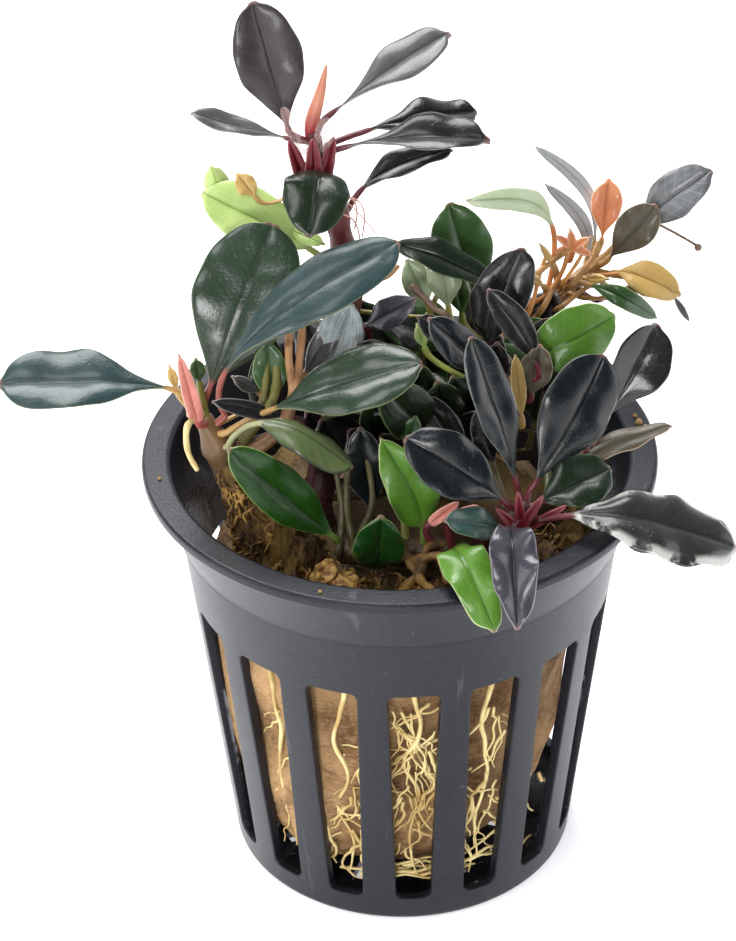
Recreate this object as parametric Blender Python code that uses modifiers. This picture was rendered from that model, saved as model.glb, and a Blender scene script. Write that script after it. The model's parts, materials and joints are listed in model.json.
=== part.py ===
"""A bucephalandra in a net pot: a small aquarium plant rooted in a plug of mineral wool.

Metres, +Z up. The origin is the centre of the pot's underside, and the plant's front is towards -Y.
Sizes in the lists below are in millimetres, and MM turns them into metres.
"""

from math import atan2, copysign, cos, hypot, log, pi, radians, sin

import bmesh
import bpy
from mathutils import Matrix, Vector

for thing in list(bpy.data.objects):
    bpy.data.objects.remove(thing, do_unlink=True)

MM = 0.001
GAP = 0.3 * MM

# The net pot
POT_HEIGHT = 50 * MM
RIM_RADIUS = 27.5 * MM
FLANGE_WIDTH = 3.0 * MM
RIM_THICK = 1.3 * MM
RIM_ROUND = 0.4 * MM
COLLAR_FOOT_Z = 41.8 * MM
COLLAR_STEP = 0.3 * MM
WALL_FOOT_RADIUS = 18.8 * MM
WALL_SLOPE = 0.116
WALL = 1.2 * MM
FLOOR = 1.6 * MM
FOOT_ROUND = 0.9 * MM
TURN_STEPS = 48

# The slots in its wall, and those in its floor
SLOTS = 16
SLOT_TOP_Z = 34.4 * MM
SLOT_FOOT_Z = 3.4 * MM
SLOT_TOP_WIDTH = 5.7 * MM
SLOT_FOOT_WIDTH = 3.8 * MM
FLOOR_SLOTS = 8
FLOOR_SLOT_WIDTH = 2.4 * MM
FLOOR_SLOT_START = 6 * MM
FLOOR_SLOT_END = 14.5 * MM

# The plug of mineral wool
WOOL_FOOT_Z = 3.4 * MM
WOOL_TOP_Z = 43 * MM
WOOL_TOP_RADIUS = 19.2 * MM
WOOL_FOOT_RADIUS = 15.6 * MM
WOOL_SLANT = 3.2 * MM
WOOL_SIDES = 20
WOOL_RINGS = 12
# How square its ends are: 1 is a ball, 0 a plain drum
WOOL_END_LEVEL = 0.3
WOOL_END_ROUND = 0.25
WOOL_LUMP = 0.35 * MM
WOOL_TOP_LUMP = 0.7 * MM
SOCKET_SIDES = 12
SOCKET_RISE = 4 * MM

LEAF_THICK = 0.5 * MM
STALK_WIDTH = 1.0 * MM
VIEWER = Vector((0, -0.8, 0.6))

COLOURS = {
    "pot": ((0.030, 0.032, 0.042), 0.45),
    "wool": ((0.23, 0.14, 0.06), 0.95),
    "root": ((0.68, 0.55, 0.28), 0.6),
    "rhizome": ((0.26, 0.17, 0.07), 0.8),
    "red stem": ((0.20, 0.02, 0.02), 0.4),
    "orange": ((0.55, 0.22, 0.07), 0.5),
    "black": ((0.012, 0.012, 0.014), 0.3),
    "blue": ((0.018, 0.028, 0.034), 0.3),
    "grey green": ((0.035, 0.065, 0.055), 0.3),
    "silver": ((0.10, 0.11, 0.11), 0.35),
    "green": ((0.03, 0.14, 0.03), 0.35),
    "lime": ((0.18, 0.36, 0.03), 0.4),
    "ochre": ((0.40, 0.26, 0.05), 0.5),
    "taupe": ((0.16, 0.11, 0.09), 0.45),
}

# Each stem: its centre line from the wool up, its radius at the foot and at the top, its colour
STEMS = {
    "stem_top": ([(-9, -2, 38), (-8.8, -1.4, 46), (-7, 2, 56), (-5, 6.6, 66), (-6, 9.4, 74),
                  (-8.4, 11, 82.8)], 1.9, 1.4, "red stem"),
    "stem_left": ([(-14.5, -6, 37), (-15.8, -6.2, 45), (-18, -5.8, 52), (-20.6, -5, 58.5)],
                  2.4, 1.6, "rhizome"),
    "stem_right": ([(8.5, -9, 37), (9, -10, 44), (11, -13, 49), (12, -15, 52.5)],
                   2.2, 1.5, "red stem"),
    "stem_side": ([(14, -3, 38), (15.5, -4.5, 45), (18.5, -7, 51), (19.6, -7.8, 55)],
                  1.6, 1.1, "taupe"),
    "stem_middle": ([(5, 3, 38), (6, 2.5, 46), (9, 0, 54), (12, -2.5, 60)], 1.8, 1.3, "rhizome"),
    "stem_back": ([(8, 8, 38), (8.6, 8.8, 46), (11, 12, 53), (16, 14.8, 57), (22.4, 18, 61)],
                  1.8, 1.2, "ochre"),
}
STEM_SIDES = 8
STEM_POINTS = 2
STEM_KNOB = 0.08
STEM_END = 0.6

# The creeping rhizome in front lies on the wool
CREEPER_LINE = [(-7, -11, 45.4), (-3, -12.5, 45.8), (1, -13, 46.0), (5, -14.5, 46.8)]
CREEPER_RADIUS = 1.5
CREEPER_KNOB = 0.15
CREEPER_POINTS = 3

BIG = (4, 7)
SMALL = (2, 6)

# Each leaf: its foot on the stem, its tip and the blade's width, then only what is special to it.
# raised: how far its middle stands over the straight line from foot to tip
# swept: how far its middle lies to one side of that line
# peak: where along the leaf it is raised most
# roll: degrees of turn about that line, from facing the viewer
# fold: degrees that each half of the blade is lifted from the midrib
# stalk: the stalk's share of the length; widest: where along the blade it is widest
# blunt: lower for a rounder outline
LEAVES = {
    "leaf_top_tall": dict(
        foot=(-10.6, 11, 83.2), tip=(-13.8, 13, 97.0), width=7.2, raised=0.6, stalk=0.02, blunt=0.6,
        cage=BIG, colour="black"),
    "leaf_top_upper_right": dict(
        foot=(-7, 11.8, 83.8), tip=(6.2, 17, 90.4), width=5.8, raised=0.5, roll=-35, stalk=0.2,
        widest=0.56, cage=BIG, colour="silver"),
    "leaf_top_right": dict(
        foot=(-6.3, 10.2, 81), tip=(9.4, 8, 83.2), width=6.4, raised=0.9, roll=-48, stalk=0.16,
        widest=0.58, blunt=0.6, cage=BIG, colour="black"),
    "leaf_top_behind": dict(
        foot=(-6.5, 12.9, 80.2), tip=(9.2, 17, 81.2), width=5.6, raised=1, roll=-35, stalk=0.35,
        widest=0.55, blunt=0.6, cage=BIG, colour="black"),
    "leaf_top_lower": dict(
        foot=(-4.4, 10.6, 74), tip=(6.4, 14, 78.4), width=3.4, raised=0.8, swept=-1.2, roll=-30,
        stalk=0.2, colour="black"),
    "leaf_top_left": dict(
        foot=(-10.4, 12.2, 81.6), tip=(-20.4, 14, 84), width=2.8, raised=-0.3, roll=30, stalk=0.1,
        colour="black"),
    "leaf_top_front": dict(
        foot=(-7.6, 8.6, 79.4), tip=(-9, 1, 76.8), width=7, raised=2, fold=6, stalk=0.05, widest=0.45,
        cage=BIG, colour="grey green"),
    "leaf_lime": dict(
        foot=(-7.8, 7.6, 70.0), tip=(-19.6, 8, 77.8), width=6.2, raised=1, roll=10, stalk=0.15,
        widest=0.6, cage=BIG, colour="lime"),
    "leaf_green_high": dict(
        foot=(-3.2, 8.2, 70.9), tip=(10.2, 5, 67.2), width=4.4, raised=1.4, swept=-0.3, roll=-30,
        stalk=0.2, widest=0.45, cage=BIG, colour="green"),
    "leaf_green_behind": dict(
        foot=(10.2, 11.2, 55.0), tip=(6.2, 11, 73.4), width=7, raised=0.6, stalk=0.4, colour="green"),

    "leaf_left_long": dict(
        foot=(-22.2, -5.2, 59.4), tip=(-41.5, -6, 64.5), width=8.4, raised=3.8, peak=0.22, roll=34,
        stalk=0.15, widest=0.6, blunt=0.6, cage=BIG, colour="grey green"),
    "leaf_left_broad": dict(
        foot=(-20.4, -3, 59.6), tip=(-12.8, 3, 76.6), width=10.8, raised=0.8, fold=8, stalk=0.08,
        widest=0.62, blunt=0.5, cage=BIG, colour="grey green"),
    "leaf_left_across": dict(
        foot=(-18.4, -5, 59), tip=(-0.2, 0, 75.8), width=6.8, raised=3.6, swept=-2.4, peak=0.3,
        roll=-20, fold=8, stalk=0.2, widest=0.6, blunt=0.6, cage=BIG, colour="blue"),
    "leaf_left_pointing": dict(
        foot=(-18.2, -6.6, 57.8), tip=(1.6, -9, 66.8), width=7.6, raised=1.5, roll=-28, fold=8,
        stalk=0.3, widest=0.58, cage=BIG, colour="grey green"),
    "leaf_left_curled": dict(
        foot=(-18.2, -7.4, 56.6), tip=(-5.8, -13, 57.4), width=4.6, raised=4.4, roll=-20, fold=20,
        stalk=0.3, colour="grey green"),
    "sheath_left": dict(
        foot=(-21.2, -7.2, 59.4), tip=(-22.8, -7, 67.5), width=1.9, raised=0.2, fold=25, stalk=0.05,
        widest=0.4, colour="orange"),
    "leaf_left_inner": dict(
        foot=(-8.8, 0.8, 58.4), tip=(-5, -1, 69), width=5, raised=0.5, swept=0.4, stalk=0.35,
        colour="silver"),
    "leaf_left_low": dict(
        foot=(-16.4, -4.0, 54.0), tip=(-13, -1, 65), width=3.6, raised=0.4, stalk=0.3, colour="green"),

    "leaf_right_left": dict(
        foot=(10.4, -15.2, 53), tip=(0, -14, 61), width=6.8, raised=1, roll=8, stalk=0.06, widest=0.6,
        cage=BIG, colour="blue"),
    "leaf_right_upright": dict(
        foot=(11.4, -13.2, 53.6), tip=(6.8, -10, 70.2), width=4.8, raised=0.6, roll=20, fold=14,
        stalk=0.12, widest=0.56, cage=BIG, colour="black"),
    "leaf_right_large": dict(
        foot=(12.8, -13.2, 53.6), tip=(20.6, -7, 65.4), width=8, raised=0.6, roll=-15, fold=8, stalk=0.08,
        widest=0.58, cage=BIG, colour="blue"),
    "leaf_right_over_rim": dict(
        foot=(13.8, -15.8, 51.4), tip=(33.4, -18, 48.6), width=9, raised=2.6, roll=-35, stalk=0.2,
        widest=0.46, blunt=0.6, cage=BIG, colour="black"),
    "leaf_right_short": dict(
        foot=(13.6, -14.6, 52.8), tip=(21, -11.4, 54.4), width=5.2, raised=0.6, roll=-35, stalk=0.1,
        widest=0.6, colour="blue"),
    "leaf_right_front": dict(
        foot=(10.4, -16.9, 51.2), tip=(10, -29, 48), width=5.6, raised=4, swept=0.4, fold=30,
        stalk=0.1, widest=0.56, cage=BIG, colour="blue"),
    "leaf_right_low": dict(
        foot=(10.0, -15.6, 50.0), tip=(3.6, -19.2, 54.4), width=3.6, raised=0.6, roll=20, stalk=0.05,
        colour="blue"),
    "leaf_side_glossy": dict(
        foot=(20.4, -7.4, 56.8), tip=(26.4, -4, 67), width=7, raised=0.6, roll=10, fold=28, stalk=0.22,
        widest=0.55, cage=BIG, colour="black"),
    "leaf_side_taupe": dict(
        foot=(20.4, -9, 54.4), tip=(27.8, -7, 56.4), width=3.8, raised=0.5, roll=-45, stalk=0.08,
        colour="taupe"),

    "leaf_middle_left": dict(
        foot=(10, -2.6, 60), tip=(3, -5, 69.5), width=4.2, raised=0.6, stalk=0.15, colour="blue"),
    "leaf_middle_right": dict(
        foot=(14.5, -3.2, 61.0), tip=(9.4, -1, 70.2), width=3.4, raised=0.6, swept=0.6, fold=16,
        stalk=0.1, colour="black"),
    "leaf_middle_black": dict(
        foot=(10.2, 1.0, 57.8), tip=(13, 3, 72.4), width=6.2, raised=0.6, swept=-1.6, fold=8,
        stalk=0.25, colour="black"),
    "leaf_middle_green": dict(
        foot=(13.9, -0.8, 61.8), tip=(22.5, 1, 65.2), width=6.4, raised=2.4, stalk=0.15, cage=BIG,
        colour="lime"),
    "leaf_shade_upper": dict(
        foot=(-3.6, 4, 63), tip=(1.6, 1, 68.2), width=3.4, raised=0.6, stalk=0.1, colour="black"),
    "leaf_shade_red": dict(
        foot=(6.9, -0.9, 53.6), tip=(-4.2, -2.6, 65.2), width=4.2, raised=1, roll=10, stalk=0.45,
        colour="black"),
    "leaf_shade_low": dict(
        foot=(5.5, -0.5, 48.6), tip=(-2, -9, 64), width=6, raised=1, stalk=0.4, colour="green"),

    "leaf_front_green": dict(
        foot=(-7.6, -12.8, 48.2), tip=(-18, -14, 60.5), width=5.8, raised=-0.6, stalk=0.08, widest=0.45,
        cage=BIG, colour="green"),
    "leaf_front_bright": dict(
        foot=(1.6, -13.2, 49), tip=(-2.5, -12.6, 60), width=5, raised=0.4, swept=0.6, stalk=0.15,
        widest=0.42, colour="lime"),
    "leaf_front_round": dict(
        foot=(-3.4, -15.1, 45.8), tip=(-3, -17.6, 53.8), width=5, raised=0.5, stalk=0.1, colour="green"),
    "leaf_front_lime": dict(
        foot=(3.9, -16.4, 47.6), tip=(7.6, -29.2, 48), width=5, raised=4.8, peak=0.5, roll=-10, fold=4,
        stalk=0.1, colour="lime"),

    "leaf_back_silver": dict(
        foot=(24.2, 18.4, 62.4), tip=(34.5, 17, 72.7), width=5.4, raised=1, roll=-20, stalk=0.34,
        widest=0.55, cage=BIG, colour="silver"),
    "leaf_back_olive": dict(
        foot=(23.6, 16.4, 62.4), tip=(28.6, 16, 69.2), width=4.8, raised=0.6, stalk=0.1, widest=0.58,
        colour="taupe"),
    "leaf_back_young": dict(
        foot=(23.4, 19.7, 62.8), tip=(24.1, 20.6, 69.9), width=3.6, raised=0.6, fold=20, stalk=0.1,
        colour="orange"),
    "leaf_back_narrow": dict(
        foot=(22.4, 19.9, 62.3), tip=(16.6, 23, 73), width=2.2, raised=0.4, swept=2.3, stalk=0.2,
        colour="silver"),
    "leaf_back_grey": dict(
        foot=(21.6, 18.4, 61.4), tip=(17.4, 20, 70), width=2.2, raised=0.4, swept=1.5, stalk=0.2,
        colour="silver"),
    "leaf_back_ochre": dict(
        foot=(24, 16.2, 60.8), tip=(31, 12.4, 60.4), width=4.2, raised=2.4, roll=-10, stalk=0.1,
        widest=0.6, colour="ochre"),
    "leaf_back_low": dict(
        foot=(20.4, 14.6, 61), tip=(28.4, 11, 58.4), width=2.4, raised=4, peak=0.5, stalk=0.15,
        colour="green"),
    "leaf_back_arched": dict(
        foot=(16.4, 13.2, 59.4), tip=(8, 8, 75.8), width=3.2, raised=0.6, swept=6.4, roll=20,
        stalk=0.3, colour="green"),
}

# Leaves in the shade between the shoots, each on the stalk of a leaf above, a little up from its
# foot: tip, width, how far its middle is raised
SIBLINGS = {
    "leaf_green_behind": [((-1, 12.5, 59), 6.2, 1.0), ((1.5, 11.5, 50.5), 5.6, 0.8),
                          ((18.5, 6.5, 58.5), 5.6, 1.0)],
    "leaf_shade_upper": [((2.5, 11, 58.5), 5.5, 0.8), ((-1.5, 9, 53), 5.5, 0.6)],
    "leaf_shade_low": [((-4, 5, 53), 5.6, 0.8), ((3, 8.5, 54), 5.5, 0.8)],
}
SIBLING_RISE = 0.8
SIBLING_STALK = 0.2
SIBLING_CAGE = (2, 5)

# The buds are turned spindles: foot, tip, radius
BUDS = {
    "bud_top": ((-8.1, 11.3, 84.2), (-6.5, 12, 90.2), 0.85, "orange"),
}
BUD_TAPER = 0.35

# The roots run down between the wool and the wall: for each, the slot that shows it, counted from
# the front one towards +X, and the places across that slot from the top of the root to its foot
ROOTS = {
    "root_left": (-2, [(-0.6, 31), (0.8, 26), (-0.6, 19), (0.3, 13), (0.8, 7)]),
    "root_front_left": (-1, [(1.2, 32), (-0.6, 27), (1.0, 21), (-1.0, 15), (1.2, 10), (0.2, 6)]),
    "root_front": (0, [(-1.0, 33), (1.2, 29), (-1.2, 24), (1.0, 18), (-0.9, 12), (0.8, 6)]),
    "root_front_right": (1, [(0.8, 32), (-1.0, 28), (0.9, 20), (-0.8, 13), (0.5, 7)]),
}
ROOT_RADIUS = 0.6
ROOT_POINTS = 3
ROOT_SIDES = 6
ROOT_TAPER = 0.4


def new_collection(name):
    collection = bpy.data.collections.new(name)
    bpy.context.scene.collection.children.link(collection)
    return collection


def new_material(name, colour, roughness):
    material = bpy.data.materials.new(name)
    material.use_nodes = True
    shader = material.node_tree.nodes["Principled BSDF"]
    shader.inputs["Base Color"].default_value = (*colour, 1)
    shader.inputs["Roughness"].default_value = roughness
    material.diffuse_color = (*colour, 1)
    return material


def add_mesh(name, bm, collection, colour=None):
    mesh = bpy.data.meshes.new(name)
    bm.to_mesh(mesh)
    bm.free()
    thing = bpy.data.objects.new(name, mesh)
    collection.objects.link(thing)
    if colour:
        mesh.materials.append(new_material(name, *COLOURS[colour]))
        mesh.shade_smooth()
    return thing


def add_hidden(name, bm, collection):
    """A shape that only cuts another or is joined to it."""
    hidden = add_mesh(name, bm, collection)
    hidden.hide_render = True
    hidden.display_type = "WIRE"
    return hidden


def combine(thing, hidden, operation="DIFFERENCE"):
    boolean = thing.modifiers.new(hidden.name, "BOOLEAN")
    boolean.operation = operation
    boolean.object = hidden


def outer_radius(z):
    """The wall's outer radius below the collar."""
    return WALL_FOOT_RADIUS + WALL_SLOPE * z


def inner_radius(z):
    return outer_radius(z) - WALL


def pot_profile():
    """Radius and height, from the floor's middle up the inside, over the rim and down the outside."""
    collar_out = outer_radius(COLLAR_FOOT_Z)
    flange_in = RIM_RADIUS - FLANGE_WIDTH
    flange_foot = POT_HEIGHT - RIM_THICK
    return [
        (0, FLOOR),
        (inner_radius(FLOOR), FLOOR),
        (inner_radius(COLLAR_FOOT_Z), COLLAR_FOOT_Z),
        (flange_in, POT_HEIGHT - 2 * RIM_ROUND),
        (flange_in + RIM_ROUND, POT_HEIGHT - RIM_ROUND / 2),
        (RIM_RADIUS - RIM_ROUND, POT_HEIGHT),
        (RIM_RADIUS, POT_HEIGHT - RIM_ROUND),
        (RIM_RADIUS - RIM_ROUND / 2, flange_foot),
        (RIM_RADIUS - WALL, flange_foot - RIM_ROUND),
        (collar_out + COLLAR_STEP, COLLAR_FOOT_Z + COLLAR_STEP),
        (collar_out, COLLAR_FOOT_Z),
        (outer_radius(FOOT_ROUND), FOOT_ROUND),
        (WALL_FOOT_RADIUS - FOOT_ROUND, 0),
        (0, 0),
    ]


def slot_cutters():
    """One wedge through the wall for each slot, wide at the top."""
    bm = bmesh.new()
    reach_in = inner_radius(0) - WALL
    reach_out = outer_radius(SLOT_TOP_Z) + WALL
    for slot in range(SLOTS):
        made = bmesh.ops.create_cube(bm, size=1)["verts"]
        for vertex in made:
            top = vertex.co.z > 0
            width = SLOT_TOP_WIDTH if top else SLOT_FOOT_WIDTH
            vertex.co.x *= width
            vertex.co.y = -(reach_out if vertex.co.y < 0 else reach_in)
            vertex.co.z = SLOT_TOP_Z if top else SLOT_FOOT_Z
        bmesh.ops.rotate(bm, verts=made, matrix=Matrix.Rotation(2 * pi * slot / SLOTS, 3, "Z"))
    return bm


def floor_cutters():
    bm = bmesh.new()
    middle = (FLOOR_SLOT_START + FLOOR_SLOT_END) / 2
    size = (FLOOR_SLOT_WIDTH, FLOOR_SLOT_END - FLOOR_SLOT_START, 4 * FLOOR)
    for slot in range(FLOOR_SLOTS):
        place = Matrix.Rotation(2 * pi * (slot + 0.5) / FLOOR_SLOTS, 4, "Z")
        place @= Matrix.Translation((0, -middle, 0)) @ Matrix.Diagonal((*size, 1))
        bmesh.ops.create_cube(bm, size=1, matrix=place)
    return bm


def make_pot(parts, cutters):
    bm = bmesh.new()
    corners = [bm.verts.new((radius, 0, z)) for radius, z in pot_profile()]
    for above, below in zip(corners, corners[1:]):
        bm.edges.new((above, below))
    pot = add_mesh("net_pot", bm, parts, "pot")
    turn = pot.modifiers.new("turned", "SCREW")
    turn.steps = turn.render_steps = TURN_STEPS
    turn.use_merge_vertices = True
    turn.merge_threshold = 0.00001
    # Half a step of turn keeps the seams between facets off the slots' edges
    pot.rotation_euler.z = pi / TURN_STEPS
    combine(pot, add_hidden("wall_slots", slot_cutters(), cutters))
    combine(pot, add_hidden("floor_slots", floor_cutters(), cutters))


def make_wool(parts, cutters):
    """A plug with a round shoulder and a lumpy skin, cut away low down on its right side."""
    bm = bmesh.new()
    bmesh.ops.create_uvsphere(bm, u_segments=WOOL_SIDES, v_segments=WOOL_RINGS, radius=1)
    height = WOOL_TOP_Z - WOOL_FOOT_Z
    for vertex in bm.verts:
        x, y, z = vertex.co
        around = atan2(y, x)
        ring = hypot(x, y)
        level = 0.5 + 0.5 * copysign(abs(z) ** WOOL_END_LEVEL, z)
        radius = WOOL_FOOT_RADIUS + (WOOL_TOP_RADIUS - WOOL_FOOT_RADIUS) * level
        radius *= ring ** WOOL_END_ROUND
        radius += WOOL_LUMP * ring * (sin(3 * around + 5 * level) + sin(7 * around - 9 * level))
        radius -= WOOL_SLANT * ring * max(0, cos(around + 0.5)) * (1 - level)
        rise = WOOL_TOP_LUMP * ring * level * sin(2.5 * around + 4 * ring)
        vertex.co = (radius * cos(around), radius * sin(around), WOOL_FOOT_Z + height * level + rise)
    wool = add_mesh("rockwool", bm, parts, "wool")
    combine(wool, add_hidden("stem_sockets", stem_sockets(), cutters))


def stem_sockets():
    """Room in the wool for each stem's foot, a gap wider than the stem."""
    bm = bmesh.new()
    for line, foot_radius, _, _ in STEMS.values():
        foot, knee = (Vector(point) * MM for point in line[:2])
        along = (knee - foot).normalized()
        depth = (knee - foot).length + SOCKET_RISE
        middle = foot + along * (depth / 2 - 2 * GAP)
        place = Matrix.Translation(middle) @ along.to_track_quat("Z", "Y").to_matrix().to_4x4()
        radius = foot_radius * MM + 2 * GAP
        bmesh.ops.create_cone(bm, cap_ends=True, segments=SOCKET_SIDES, radius1=radius, radius2=radius,
                              depth=depth, matrix=place)
    return bm


def smooth_line(points, per_span):
    """Points on a smooth curve through the given ones."""
    points = [Vector(point) for point in points]
    padded = [2 * points[0] - points[1], *points, 2 * points[-1] - points[-2]]
    line = []
    for before, start, end, after in zip(padded, padded[1:], padded[2:], padded[3:]):
        for step in range(per_span):
            t = step / per_span
            line.append(0.5 * (2 * start + (end - before) * t
                               + (2 * before - 5 * start + 4 * end - after) * t * t
                               + (3 * start - before - 3 * end + after) * t ** 3))
    return [*line, points[-1]]


def make_tube(name, line, radii, collection, colour, sides):
    """A round stem or root along a line, as a curve with filled caps."""
    curve = bpy.data.curves.new(name, "CURVE")
    curve.dimensions = "3D"
    curve.bevel_depth = MM
    curve.bevel_resolution = sides // 2 - 2
    curve.use_fill_caps = True
    spline = curve.splines.new("POLY")
    spline.points.add(len(line) - 1)
    for point, place, radius in zip(spline.points, line, radii):
        point.co = (*(place * MM), 1)
        point.radius = radius
    curve.materials.append(new_material(name, *COLOURS[colour]))
    thing = bpy.data.objects.new(name, curve)
    collection.objects.link(thing)
    return thing


def make_stem(name, route, foot_radius, top_radius, colour, parts):
    """Tapering, with a slight knob where each old leaf came off."""
    line = smooth_line(route, STEM_POINTS)
    radii = []
    for index in range(len(line)):
        t = index / (len(line) - 1)
        knob = 1 + STEM_KNOB * (index % 2)
        radii.append((foot_radius + (top_radius - foot_radius) * t) * knob)
    radii[-1] *= STEM_END
    make_tube(name, line, radii, parts, colour, STEM_SIDES)


def swell(t, peak):
    """Nothing at either end of a leaf, and 1 at its peak."""
    return sin(pi * t ** (log(0.5) / log(peak)))


def bend_blade(foot, tip, width, raised=0, swept=0, peak=0.42, roll=0, fold=12, stalk=0.1,
               widest=0.5, blunt=0.7, cage=SMALL):
    """A blade with its stalk, bent from a flat grid and still without thickness."""
    foot, tip = Vector(foot) * MM, Vector(tip) * MM
    along = (tip - foot).normalized()
    face = (VIEWER - along * VIEWER.dot(along)).normalized()
    face.rotate(Matrix.Rotation(radians(roll), 3, along))
    side = along.cross(face)
    strips, rows = cage
    bm = bmesh.new()
    bmesh.ops.create_grid(bm, x_segments=strips, y_segments=rows, size=1)
    for vertex in bm.verts:
        across, t = vertex.co.x, (vertex.co.y + 1) / 2
        blade = max(0, (t - stalk) / (1 - stalk))
        half = width * MM / 2 * max(0, swell(blade, widest)) ** blunt
        half = max(half, STALK_WIDTH / 2 * (1 - 0.5 * t))
        bow = swell(t, peak) * MM
        tilt = radians(fold) * min(1, 4 * blade)
        reach = across * half
        vertex.co = (foot + (tip - foot) * t + face * raised * bow + side * swept * bow
                     + side * reach * cos(tilt) + face * abs(reach) * sin(tilt))
    return bm


def thicken(blade):
    wall = blade.modifiers.new("thickness", "SOLIDIFY")
    wall.thickness = LEAF_THICK
    wall.offset = 0


def make_leaf(name, parts, colour, **form):
    thicken(add_mesh(name, bend_blade(**form), parts, colour))


def join_siblings(name, rows, parts, cutters):
    """Further leaves on one leaf's stalk, made one body with it."""
    foot, tip = Vector(LEAVES[name]["foot"]), Vector(LEAVES[name]["tip"])
    fork = foot + (tip - foot).normalized() * SIBLING_RISE
    for number, (tip, width, raised) in enumerate(rows):
        sheet = bend_blade(fork, tip, width, raised, stalk=SIBLING_STALK, cage=SIBLING_CAGE)
        sibling = add_hidden(f"{name}_sibling_{number + 1}", sheet, cutters)
        thicken(sibling)
        combine(parts.objects[name], sibling, "UNION")


def make_bud(name, foot, tip, radius, colour, parts):
    """A spindle: a furled leaf."""
    foot, tip = Vector(foot) * MM, Vector(tip) * MM
    length = (tip - foot).length
    bm = bmesh.new()
    bmesh.ops.create_uvsphere(bm, u_segments=8, v_segments=6, radius=1)
    turn = (tip - foot).to_track_quat("Z", "Y").to_matrix()
    for vertex in bm.verts:
        t = (vertex.co.z + 1) / 2
        reach = radius * MM * (1 - BUD_TAPER * t)
        vertex.co = foot + turn @ Vector((vertex.co.x * reach, vertex.co.y * reach, t * length))
    add_mesh(name, bm, parts, colour)


def make_root(name, slot, places, parts):
    """A thick root behind one slot, half way between the wool and the wall."""
    line = []
    for across, z in places:
        radius = (inner_radius(z * MM) - 1.3 * GAP) / MM - ROOT_RADIUS
        around = 2 * pi * slot / SLOTS + across / radius
        line.append((radius * sin(around), -radius * cos(around), z))
    line = smooth_line(line, ROOT_POINTS)
    radii = [ROOT_RADIUS * (1 - ROOT_TAPER * index / len(line)) for index in range(len(line))]
    make_tube(name, line, radii, parts, "root", ROOT_SIDES)


def make_plant(parts, cutters):
    for name, (route, foot_radius, top_radius, colour) in STEMS.items():
        make_stem(name, route, foot_radius, top_radius, colour, parts)
    line = smooth_line(CREEPER_LINE, CREEPER_POINTS)
    radii = [CREEPER_RADIUS * (1 - CREEPER_KNOB * (index % 2)) for index in range(len(line))]
    make_tube("rhizome_front", line, radii, parts, "rhizome", STEM_SIDES)
    for name, form in LEAVES.items():
        make_leaf(name, parts, **form)
    for name, rows in SIBLINGS.items():
        join_siblings(name, rows, parts, cutters)
    for name, (foot, tip, radius, colour) in BUDS.items():
        make_bud(name, foot, tip, radius, colour, parts)
    for name, (slot, places) in ROOTS.items():
        make_root(name, slot, places, parts)


parts = new_collection("bucephalandra")
cutters = new_collection("cutters")
make_pot(parts, cutters)
make_wool(parts, cutters)
make_plant(parts, cutters)
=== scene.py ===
"""The looks of a bucephalandra in a net pot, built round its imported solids.

Metres, +Z up, the plant's front towards -Y. Sizes in millimetres are multiplied by MM.
"""

import json
import random
from math import acos, asin, atan2, copysign, cos, floor, hypot, log, pi, radians, sin

import bmesh
import bpy
from mathutils import Matrix, Vector, noise


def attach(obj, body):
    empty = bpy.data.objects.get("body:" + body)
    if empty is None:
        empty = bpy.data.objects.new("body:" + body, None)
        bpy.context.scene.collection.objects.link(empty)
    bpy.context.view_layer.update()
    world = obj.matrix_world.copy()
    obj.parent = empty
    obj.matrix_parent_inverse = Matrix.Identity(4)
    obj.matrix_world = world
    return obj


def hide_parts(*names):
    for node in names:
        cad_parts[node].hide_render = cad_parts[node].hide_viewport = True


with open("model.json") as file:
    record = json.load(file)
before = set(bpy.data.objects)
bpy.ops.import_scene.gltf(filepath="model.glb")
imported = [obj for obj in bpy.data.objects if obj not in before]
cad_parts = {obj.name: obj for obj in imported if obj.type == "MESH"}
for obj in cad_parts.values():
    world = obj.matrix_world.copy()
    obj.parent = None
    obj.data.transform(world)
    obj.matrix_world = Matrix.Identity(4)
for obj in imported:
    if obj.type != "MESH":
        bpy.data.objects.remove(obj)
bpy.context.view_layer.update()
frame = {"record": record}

# The view and the light: a small plant seen from above and in front through a long lens, in soft
# light from overhead, from windows and from white walls all round.
MM = 0.001
LENS_PIXELS = 3700
LONG_SIDE_PIXELS = 941
AIM = Vector((0, 0, 40)) * MM
DISTANCE = 400 * MM
SHIFT_RIGHT = -3.4 * MM
SHIFT_UP = 6.05 * MM
TURNED = radians(-2.7)
RAISED = radians(35.1)
TIPPED = radians(-0.86)

scene = bpy.context.scene
scene.view_settings.view_transform = "Standard"
back = Vector((sin(TURNED) * cos(RAISED), -cos(TURNED) * cos(RAISED), sin(RAISED)))
right = Vector((cos(TURNED), sin(TURNED), 0))
up = back.cross(right)
lens = bpy.data.cameras.new("camera")
lens.sensor_width = 36
lens.lens = LENS_PIXELS / LONG_SIDE_PIXELS * lens.sensor_width
lens.clip_start = 0.01
camera = bpy.data.objects.new("camera", lens)
scene.collection.objects.link(camera)
camera.matrix_world = Matrix((right, up, back)).transposed().to_4x4()
camera.matrix_world.translation = AIM + back * DISTANCE + right * SHIFT_RIGHT + up * SHIFT_UP
camera.matrix_world = camera.matrix_world @ Matrix.Rotation(TIPPED, 4, "Z")
scene.camera = camera


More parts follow.
